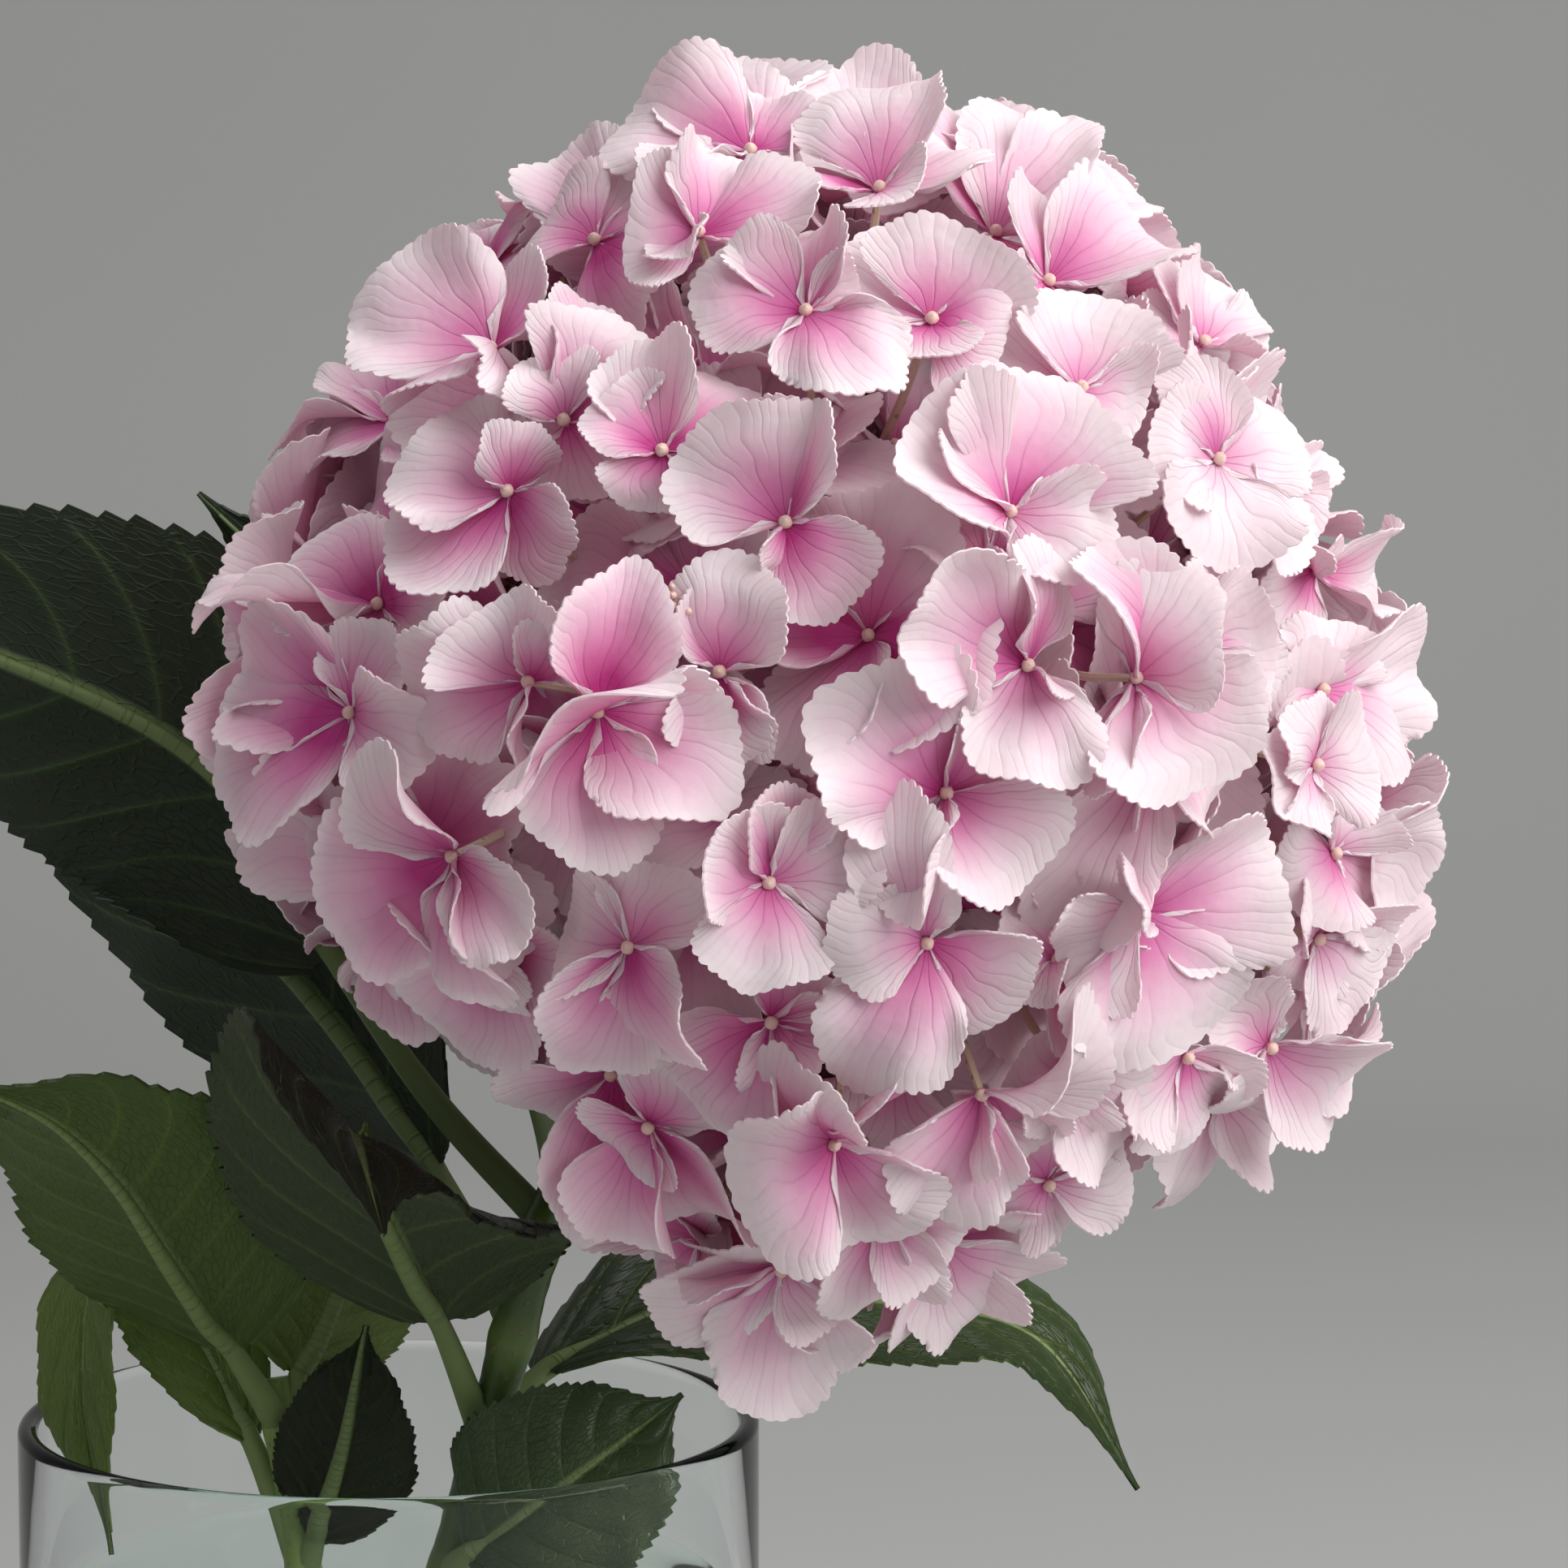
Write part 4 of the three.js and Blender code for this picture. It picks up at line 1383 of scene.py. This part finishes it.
    def _tone_and_painted_light(self, eye: Array, rng: Chance) -> float:
        """Returns a sepal's paleness: its own random tone, plus painted light that makes it paler on the
        head's right side, the lit side.
        """
        right = float(np.clip((eye[0] - self.centre[0]) / self.painted_light_reach, -0.2, 1))
        return self.painted_light_right * right + self.tone_start + rng.normal(0, self.tone_scatter)

    def grown_forms(self, eye: Array, axis: Array, size: float,
                    rng: Chance) -> list[SepalForm]:
        """Grows a floret by rule.

        Args:
            eye: its middle.
            axis: the way that it looks.
            size: its size as a share of the usual one.
            rng: the source of its shape.

        Returns:
            Its four sepals.
        """
        across = across_of(axis)
        spin = rng.uniform(0, 90)
        forms = []
        for quarter in range(4):
            way = rolled(across, axis, spin + 90 * quarter + rng.uniform(*self.turn_scatter))
            length = rng.uniform(*self.length) * size
            tip = eye + unit(way + axis * rng.uniform(*self.rise)) * length
            out = tip - self.middle
            most = self.radius(unit(out)) * self.tip_share
            tip = tip - unit(out) * max(0.0, float(np.linalg.norm(out)) - most)
            along = unit(tip - eye)
            face = rolled(square_to(axis, along), along, rng.normal(0, self.roll_scatter))
            half = length * rng.uniform(*self.half_share)
            forms.append(SepalForm(eye, tip, face, half, rng.uniform(*self.cup), rng.uniform(*self.bow),
                                   self._tone_and_painted_light(eye, rng)))
        return forms

    def florets(self, rng: Chance) -> list[Floret]:
        """Gathers all florets: those of the photograph, and those that carry them on round the ball.

        Args:
            rng: the source of chance.

        Returns:
            The florets.
        """
        found = [self.seen_floret(seen, rng) for seen in SEEN_FLORETS]
        centre = self.middle
        stem_way = unit(vec(*self.stem_top) - centre)
        gap = math.cos(math.radians(self.stem_gap))
        to_viewer = VIEW.back_from(centre)
        layers = ((self.outer_florets, self.eye_share, self.apart, 1.0),
                  (self.inner_florets, self.inner_share, self.apart * self.inner_apart, self.inner_size))
        for count, share, apart, size in layers:
            fixed = np.array([floret.eye for floret in found])
            for way in spread_directions(count):
                way = unit(way + rng.normal(0, self.scatter, 3))
                sunk = self.sunk * max(0.0, way @ to_viewer)
                depth = self.radius(way) * (share + rng.uniform(*self.depth_scatter) - sunk)
                aside = min(VIEW.off_ray(pixel, centre + way * depth) for pixel in self.kept_low)
                if aside < self.low_reach:
                    depth = depth * self.low_share
                eye = centre + way * depth
                axis = unit(way + rng.normal(0, self.axis_scatter, 3))
                forms = self.grown_forms(eye, axis, size, rng)
                near = np.linalg.norm(fixed - eye, axis=1).min()
                if way @ stem_way < gap and near > apart:
                    found.append(Floret(eye, axis, forms))
        return found

    def build(self, effects: Effects) -> None:
        """Makes the head's pieces.

        Args:
            effects: the shared node groups.
        """
        rng = np.random.default_rng(SEED)
        florets = self.florets(rng)
        shape = SepalShape()
        buds = Mesh()
        sectors = [Mesh() for _ in range(self.sectors)]
        for eye, axis, forms in florets:
            turn = math.atan2(eye[1] - self.centre[1], eye[0] - self.centre[0]) / (2 * math.pi) + 0.5
            sector = sectors[min(int(turn * self.sectors), self.sectors - 1)]
            for form in forms:
                shape.add(sector, form, rng, self.tucked)
            self._add_bud(buds, eye, axis, rng, self.bud_size)
        sepal = SepalFinish().make(effects)
        for number, sector in enumerate(sectors, 1):
            sector.piece(f"florets_{number:02d}", sepal, "sepal", HEAD)
        self._bud_cluster(buds, rng)
        buds.piece("floret_eyes", BudFinish().make(), "sepal", HEAD, 50)
        self._branches(florets, rng)
        log.info("%d florets", len(florets))

    @staticmethod
    def _add_bud(mesh: Mesh, eye: Array, axis: Array, rng: Chance, size: float) -> None:
        """Adds the small closed bud over a floret's eye, of four lobes and a little drawn in below.

        Args:
            mesh: the piece that it goes into.
            eye: the floret's middle.
            axis: the way that it looks.
            rng: the source of its turn.
            size: its radius.
        """
        turns, rings = 12, 9
        across = across_of(axis)
        other = np.cross(axis, across)
        height = np.linspace(-1, 1, rings)
        ring = np.sqrt(np.clip(1 - height**2, 0, 1)) * np.where(height < 0, 0.8, 1.0)
        turn = round_angles(turns) + rng.uniform(0, 1)
        lobed = size * (1 - 0.09 * np.cos(2 * turn) ** 2)[None] * ring[:, None]
        points = eye + across * (lobed * np.cos(turn))[..., None]
        points = points + other * (lobed * np.sin(turn))[..., None]
        points = points + axis * (size * (height * 1.15 + 0.75))[:, None, None]
        along = np.repeat((height + 1) / 2, turns)
        mesh.add(points.reshape(-1, 3), wall_triangles(rings, turns), along=along)

    def _bud_cluster(self, mesh: Mesh, rng: Chance) -> None:
        """Adds the knot of unopened fertile buds that shows among the florets on the left.

        Args:
            mesh: the piece that it goes into.
            rng: the source of their turns.
        """
        middle = self.eye_of(self.knot)
        outward = unit(middle - self.middle)
        across = square_to(vec(0, 0, 1), outward)
        for k in range(self.knot_buds):
            turn, reach = k * 2.4, 0.75 * math.sqrt(k)
            spot = middle + rolled(across, outward, math.degrees(turn)) * reach
            self._add_bud(mesh, spot - outward * 0.12 * reach**2, outward, rng, self.knot_size)

    def _branches(self, florets: list[Floret], rng: Chance) -> None:
        """Makes the branching stalks from the top of the stem to every floret.

        Args:
            florets: the florets.
            rng: the source of the bends.
        """
        mesh = Mesh()
        top, centre = vec(*self.stem_top), self.middle
        ways = spread_directions(self.branches)
        forks = [centre + way * self.radius(way) * self.fork_share for way in ways]
        (branch, branch_loss), (twig, twig_loss) = self.branch, self.twig
        for fork in forks:
            middle = (top + fork) / 2 + rng.normal(0, 1.5, 3)
            curve = Curve([tuple(top - vec(2, -2, 4)), tuple(middle), tuple(fork)])
            share = np.linspace(0, 1, 10)
            mesh.add_tube(curve.at(share), branch - branch_loss * share, 8, joint=share)
        for eye, axis, _ in florets:
            way = unit(eye - centre)
            fork = forks[int(np.argmax(ways @ way))]
            knee = eye - axis * self.knee - (eye - fork) * 0.15
            curve = Curve([tuple(fork), tuple((fork + knee) / 2), tuple(knee), tuple(eye - axis * 0.2)])
            share = np.linspace(0, 1, 9)
            mesh.add_tube(curve.at(share), twig - twig_loss * share, 6, joint=share)
        mesh.piece("flower_stalks", StalkFinish(Growth.INNER).make(), "stem", HEAD, 50)


# ---- stems ----


@dataclass(frozen=True)
class Stem:
    """A stem, from its cut foot on the jar's base to its top, with a swelling at each leaf joint."""

    name: str
    radius: float
    path: tuple[Triple, ...]
    joints: tuple[float, ...]
    growth: Growth
    swell: float = 0.22
    reach: float = 6.5
    ridge: float = 0.012
    ridge_rate: float = 1.7
    steps: int = 150
    sides: int = 28

    def build(self) -> None:
        """Makes the stem's piece."""
        curve = Curve(list(self.path))
        share = np.linspace(0, 1, self.steps)
        centres = curve.at(share)
        bulge = np.zeros(self.steps)
        for joint in self.joints:
            near = np.clip(1 - np.abs(centres[:, 2] - joint) / self.reach, 0, 1)
            bulge = np.maximum(bulge, near**1.5)
        ridges = self.ridge * np.sin(share * curve.length * self.ridge_rate)
        mesh = Mesh()
        mesh.add_tube(centres, self.radius * (0.98 + self.swell * bulge + ridges), self.sides, joint=bulge)
        mesh.piece(self.name, StalkFinish(self.growth).make(), "stem", self.name)


FLOWER_STEM = Stem(
    "flower_stem", 3.1,
    ((-30, 22, 10.3), (-8, 5, 95), (9, -10.5, 166), (15, -16, 190), (25.9, -26, 227), (43, -41, 266)),
    (168, 190, 206, 223), Growth.RIPE)
LEAFY_SHOOT = Stem(
    "leafy_shoot", 2.4, ((12, -30, 9.9), (-2, -19, 100), (-15.5, -8, 190), (-16.6, -7, 197)),
    (168, 190), Growth.YOUNG)


# ---- leaves ----


@dataclass(frozen=True)
class Leaf:
    """A serrated leaf on its stalk, along a path from the stem's axis to the tip.

    stalk is the length of the leaf stalk, fold the rise of the margins as a share of the half width, wave the
    height of the margins' wave, and face_base and face_tip the way that the upper side looks at either end.
    tooth is a tooth's depth as a share of the half width, pairs the number of side veins on each side, and
    sweep how far they lean towards the tip. From point_from to the tip the blade narrows by the further share
    pointed. Its waves die down where it is narrower than the share calm of its width. rib is the stalk's
    radius, and rib_base how much thicker it is at the stem.
    """

    name: str
    path: tuple[Triple, ...]
    face_base: Triple
    face_tip: Triple
    stalk: float
    half_width: float
    fold: float
    wave: float
    finish: LeafFinish
    rows: int = 121
    columns: int = 33
    teeth: int = 27
    tooth: float = 0.058
    thickness: float = 0.55
    pairs: int = 8
    sweep: float = 0.24
    pointed: float = 0.8
    point_from: float = 0.76
    calm: float = 0.45
    flutter: float = 0.5
    rib: float = 1.9
    rib_base: float = 1.25

    def _half(self, s: Array) -> Array:
        """Works out how wide the blade is.

        Args:
            s: the share of the way from its base to its tip.

        Returns:
            The half width there.
        """
        inner = 0.015 + 0.97 * s
        shape = np.sin(math.pi * inner**0.8) ** 0.75 * (1 - 0.18 * inner)
        point = 1 - self.pointed * smooth(self.point_from, 1.0, s)
        return np.maximum(self.half_width * shape * point, 0.4)

    def _relief(self, s: Array, v: Array) -> Array:
        """Works out the quilting of the blade.

        Args:
            s: the share of the way from its base to its tip.
            v: the place across, -1 to 1.

        Returns:
            How far it stands up between its veins and sinks along them.
        """
        lane = (s - self.sweep * np.abs(v) ** 1.25) * self.pairs * math.pi
        quilt = np.abs(np.sin(lane)) ** 0.6 * (1 - np.abs(v) ** 3)
        midrib = np.exp(-((v / 0.05) ** 2)) * (1 - 0.7 * s)
        return 0.75 * quilt * smooth(0.04, 0.3, np.abs(v)) - 0.9 * midrib

    def build(self, effects: Effects) -> None:
        """Makes the leaf's piece.

        Args:
            effects: the shared node groups.
        """
        curve = Curve(list(self.path))
        start = self.stalk / curve.length
        s = np.linspace(0, 1, self.rows)[:, None]
        v = np.linspace(-1, 1, self.columns)[None]
        share = (start + (1 - start) * s).ravel()
        along = curve.along(share)
        face = square_to(vec(*self.face_base) + (vec(*self.face_tip) - vec(*self.face_base)) * s, along)
        side = np.cross(along, face)
        saw = (s * self.teeth) % 1.0
        edge = np.abs(v) ** 6
        half = self._half(s) * (1 - self.tooth * (1 - saw) * edge * np.minimum(1, 12 * (1 - s)))
        lean = self.half_width / self.rows * 2.2 * saw * edge
        reach = np.abs(v)
        calm = np.minimum(1.0, self._half(s) / (self.calm * self.half_width))
        wave = self.wave * reach**2 * np.sin(9 * s + 2 * v)
        lift = self.fold * reach * half + calm * (wave + self._relief(s, v))
        flutter = self.flutter * calm * reach**4 * np.sin(31 * s + 5 * v)
        points = curve.at(share)[:, None] + side[:, None] * (v * half)[..., None]
        points = points + face[:, None] * (lift + flutter)[..., None] + along[:, None] * lean[..., None]
        shape = (self.rows, self.columns)
        index = np.arange(self.rows * self.columns).reshape(shape)
        outline = np.concatenate([index[0], index[1:, -1], index[-1, -2::-1], index[-2:0:-1, 0]])
        mesh = Mesh()
        mesh.add_sheet(points.reshape(-1, 3), grid_triangles(*shape), outline, self.thickness,
                       across=np.broadcast_to(v, shape).ravel(), along=np.broadcast_to(s, shape).ravel())
        self._add_rib(mesh, curve, start, face)
        mesh.piece(self.name, self.finish.make(effects), "leaf", self.name, 55)

    def _add_rib(self, mesh: Mesh, curve: Curve, start: float, face: Array) -> None:
        """Adds the leaf stalk, which runs on below the blade as its midrib.

        Args:
            mesh: the piece that it goes into.
            curve: the leaf's path.
            start: the share of the path where the blade starts.
            face: the way that each row of the blade looks.
        """
        share = np.linspace(0, 0.97, 80)
        inside = np.clip((share - start) / (1 - start), 0, 1)
        radius = np.where(share < start, self.rib * (self.rib_base - 0.45 * share / start),
                          1.5 * (1 - inside) ** 0.8 + 0.12)
        row = np.minimum((inside * (self.rows - 1)).astype(int), self.rows - 1)
        drop = radius * 0.75 + 0.55
        centres = curve.at(share) - face[row] * (drop * smooth(0.0, 0.12, inside))[:, None]
        mesh.add_tube(centres, radius, 12, across=0.0, along=inside, under=1.0)


@dataclass(frozen=True)
class Foliage:
    """The ten leaves with their finishes. The dark, deep and olive finishes are near-black, darker than the
    leaves' own green, as painted shade; the bright finish is lighter than its leaves' own green, as painted
    light on leaves that lie in shade.
    """

    # painted shade: darker than the leaves' own green
    dark_painted_shade: LeafFinish = LeafFinish(
        "leaf dark painted shade", linear(14, 26, 14), linear(38, 50, 30), linear(88, 112, 66))
    # painted shade: near-black, for a leaf that lies in shade
    deep_painted_shade: LeafFinish = LeafFinish(
        "leaf deep painted shade", linear(12, 20, 10), linear(34, 42, 20), linear(66, 82, 38))
    # painted shade: a near-black upper side
    olive_painted_shade: LeafFinish = LeafFinish(
        "leaf olive painted shade", linear(22, 24, 14), linear(66, 78, 46), linear(108, 128, 66))
    fresh: LeafFinish = LeafFinish(
        "leaf fresh", linear(42, 62, 20), linear(84, 108, 44), linear(124, 146, 70))
    # painted light: lighter than its leaves' own green, for leaves that lie in shade
    bright_painted_light: LeafFinish = LeafFinish(
        "leaf bright painted light", linear(104, 130, 54), linear(136, 158, 82), linear(158, 176, 108))
    frosted: LeafFinish = LeafFinish(
        "leaf frosted", linear(58, 80, 42), linear(92, 108, 76), linear(128, 146, 100))

    def leaves(self) -> tuple[Leaf, ...]:
        """Lists the leaves, with the same paths as their solids.

        Returns:
            The ten leaves.
        """
        return (
            Leaf("leaf_front_arching",
                 ((15, -16, 190), (10, -26, 207), (5, -38, 222), (1, -55, 237), (1, -77, 246), (6, -97, 236)),
                 (0.1, 0.9, 0.4), (0.75, -0.5, 0.9), 24, 31, 0.1, 2.0, self.olive_painted_shade),
            Leaf("leaf_right_long",
                 ((15, -16, 190), (24, -4, 198), (46, 9, 206), (71.9, 14.7, 204.5), (96.6, 15.1, 198.8),
                  (112.3, 11.5, 175.9)),
                 (-0.1, -0.25, 1), (0.85, -0.5, 0.4), 16, 20, 0.1, 2.0, self.fresh),
            Leaf("leaf_right_hanging",
                 ((9.4, -10.9, 168), (12.5, -20, 173), (20, -26.5, 180), (28, -27.5, 186.5), (36, -25, 192),
                  (44, -20.5, 197.5)),
                 (-0.15, -0.9, 0.35), (0.1, -1, 0.2), 11, 17.5, 0.1, 1.2, self.frosted),
            Leaf("leaf_left_large",
                 ((25, -25, 223), (8, -17, 240), (-9, -9, 263), (-25, -4, 287), (-55, -9, 304),
                  (-98, -13, 316)),
                 (-0.2, 0.9, 0.35), (-0.1, 0.9, 0.45), 52, 31, 0.14, 2.5, self.dark_painted_shade),
            Leaf("leaf_left_dark",
                 ((20, -20.5, 206), (10, -0.5, 222), (-6.5, 16, 244), (-29.5, 23, 268), (-53, 25, 290),
                  (-78, 22, 306)),
                 (0.25, 0.8, 0.5), (0.1, 0.9, 0.5), 34, 31, 0.14, 2.0, self.dark_painted_shade),
            Leaf("leaf_back_tall",
                 ((25, -25, 223), (24, 2, 230), (14, 30, 252), (0, 44, 284), (-16, 50, 308), (-32, 51, 324)),
                 (0.2, 0.8, 0.5), (-0.2, 0.85, 0.5), 50, 26, 0.12, 2.0, self.dark_painted_shade),
            Leaf("leaf_left_front",
                 ((-15.5, -8, 190), (-22, -15, 203), (-29.5, -22, 217), (-37, -29, 231), (-45, -37, 241),
                  (-54.5, -44, 247)),
                 (0.1, 0.75, 0.75), (0.05, 0.65, 0.8), 16, 26, 0.3, 1.5, self.fresh),
            Leaf("leaf_back_low",
                 ((-15.5, -8, 190), (-11.9, -4.4, 200), (-7.9, -1, 209.5), (-5.4, 2, 218.5), (-4.1, 4, 226),
                  (-3.6, 5.5, 233)),
                 (-0.2, 0.8, 0.5), (-0.2, 0.7, 0.7), 8, 19, 0.12, 1.5, self.bright_painted_light),
            Leaf("leaf_upright_small",
                 ((-12.1, -10.8, 168), (-8.4, -14.4, 178.7), (-5.3, -17.2, 189.1), (-3.3, -19.1, 199.4),
                  (-1.9, -19.2, 207.5)),
                 (0.3, 0.9, 0.2), (0.3, 0.9, 0.1), 6, 12, 0.15, 0.8, self.deep_painted_shade),
            Leaf("leaf_over_rim",
                 ((-12.1, -10.8, 168), (-20.6, -5, 188), (-33, 2.5, 207), (-43.4, 4, 211), (-45.5, -3, 197),
                  (-40.9, -10, 170.3)),
                 (-0.3, 0.2, 0.9), (-0.75, -0.65, 0.1), 22, 12, 0.12, 1.2, self.bright_painted_light),
        )

    def build(self, effects: Effects) -> None:
        """Makes the leaves' pieces.

        Args:
            effects: the shared node groups.
        """
        for leaf in self.leaves():
            leaf.build(effects)


# ---- jar and water ----


def arc(centre: Pair, radius: float, start: float, end: float,
        steps: int = 10) -> Array:
    """Returns points along an arc of a profile, by its centre, radius and angles in degrees."""
    angle = np.radians(np.linspace(start, end, steps + 1))
    return np.stack([centre[0] + radius * np.cos(angle), centre[1] + radius * np.sin(angle)], 1)


@dataclass(frozen=True)
class Jar:
    """The straight glass jar and the water in it."""

    radius: float = 55.0
    height: float = 190.0
    wall: float = 3.0
    base: float = 9.0
    foot: float = 4.0
    heel: float = 5.0
    level: float = 160.0
    meniscus: float = 1.6
    overlap: float = 0.15
    segments: int = 180

    def build(self) -> None:
        """Makes the pieces of the jar and the water."""
        lip, inside = self.wall / 2, self.radius - self.wall
        glass = Mesh()
        glass.add_turned(np.concatenate([
            [[0, 0]],
            arc((self.radius - self.foot, self.foot), self.foot, -90, 0),
            [[self.radius, self.height * share] for share in (0.2, 0.4, 0.6, 0.8)],
            arc((self.radius - lip, self.height - lip), lip, 0, 180, 14),
            [[inside, self.height * share] for share in (0.8, 0.6, 0.4, 0.2)],
            arc((inside - self.heel, self.base + self.heel), self.heel, 0, -90),
            [[0, self.base]],
        ]), self.segments)
        finish = ClearFinish("glass", linear(250, 253, 252), 1.25, 0.05)
        glass.piece("jar_glass", finish.make(), "glass", "jar")
        self._water()

    def _water(self) -> None:
        """Makes the water, which creeps up the wall where it meets the glass."""
        wet = self.radius - self.wall + self.overlap
        floor = self.base - self.overlap
        creep = np.linspace(0, 7, 12)
        surface = [[wet - x, self.level + self.meniscus * math.exp(-x / 1.5)] for x in creep]
        water = Mesh()
        water.add_turned(np.concatenate([
            [[0, floor]],
            arc((wet - self.heel, floor + self.heel), self.heel, -90, 0),
            [[wet, self.level * share] for share in (0.3, 0.6, 0.9)],
            surface,
            [[wet * share, self.level] for share in (0.8, 0.5, 0.2)],
            [[0, self.level]],
        ]), self.segments)
        finish = ClearFinish("water", linear(240, 247, 243), 1.18, 0.1)
        water.piece("jar_water", finish.make(), "water", "water")


# ---- studio ----


@dataclass(frozen=True)
class Lamp:
    """A soft lamp: its place and size in metres, its power in watts and its colour."""

    name: str
    place: Triple
    size: float
    power: float
    colour: Triple = (1.0, 1.0, 1.0)


@dataclass(frozen=True)
class Studio:
    """A plain pale floor that curves up behind, with soft lamps."""

    target: Triple = (0.03, -0.03, 0.25)
    lamps: tuple[Lamp, ...] = (
        Lamp("key", (1.05, -0.7, 1.1), 1.4, 27.0, (1.0, 0.995, 0.99)),
        Lamp("top", (0.1, 0.25, 1.7), 1.2, 9.0),
        Lamp("fill", (-1.2, -1.3, 0.7), 1.6, 1.0, (0.93, 0.96, 1.0)),
    )
    sky: float = 0.27
    shade: tuple = linear(176, 176, 175)

    def build(self) -> None:
        """Makes the floor, the lamps and the soft light from all round."""
        self._floor()
        for lamp in self.lamps:
            data = bpy.data.lights.new(lamp.name, "AREA")
            data.shape, data.size, data.energy, data.color = "SQUARE", lamp.size, lamp.power, lamp.colour
            light = bpy.data.objects.new(lamp.name, data)
            light.location = lamp.place
            way = vec(*self.target) - vec(*lamp.place)
            flat = math.hypot(way[0], way[1])
            light.rotation_euler = (math.atan2(flat, -way[2]), 0, math.atan2(way[1], way[0]) - math.pi / 2)
            bpy.context.scene.collection.objects.link(light)
        world = bpy.data.worlds.new("studio")
        world.use_nodes = True
        sky = Graph(world.node_tree)
        sky.fill(sky.tree.nodes["Background"], {"Color": (1, 1, 1, 1), "Strength": self.sky})
        bpy.context.scene.world = world
        bpy.context.scene.view_settings.view_transform = "Standard"

    def _floor(self) -> None:
        """Makes the floor and the wall behind in one curved sweep, open to a view from outside it."""
        half, front, back, bend, top = 3.0, -2.5, 1.3, 0.6, 3.2
        profile = [(front, 0.0)] + [(back + bend * math.sin(a), bend * (1 - math.cos(a)))
                                    for a in np.linspace(0, math.pi / 2, 16)] + [(back + bend, top)]
        points = [(x, y, z) for y, z in profile for x in (-half, half)]
        faces = [(2 * i, 2 * i + 1, 2 * i + 3, 2 * i + 2) for i in range(len(profile) - 1)]
        mesh = bpy.data.meshes.new("studio_floor")
        mesh.from_pydata(points, [], faces)
        mesh.shade_smooth()
        material, graph, shader, output = new_material("studio floor")
        cloud = graph.noise(graph.place(), 3.0, 2)
        colour = graph.mix(graph.times(cloud, 0.06), self.shade, (1, 1, 1, 1))
        graph.fill(shader, {"Base Color": colour, "Roughness": 0.9})
        outside = graph.node("ShaderNodeNewGeometry").outputs["Backfacing"]
        clear = graph.node("ShaderNodeBsdfTransparent")
        graph.show_both(outside, shader, clear, output)
        mesh.materials.append(material)
        floor = bpy.data.objects.new("studio_floor", mesh)
        bpy.context.scene.collection.objects.link(floor)


# ---- assembly ----


def write_sizes() -> None:
    """Updates the scene's view layer."""
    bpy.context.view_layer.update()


def main() -> None:
    """Builds the object piece by piece, then the studio and the camera."""
    logging.basicConfig(level=logging.INFO, format="%(name)s %(message)s")
    VIEW.make()
    Studio().build()
    effects = Effects()
    Jar().build()
    FLOWER_STEM.build()
    LEAFY_SHOOT.build()
    Foliage().build(effects)
    FlowerHead().build(effects)
    write_sizes()


if __name__ == "__main__":
    main()
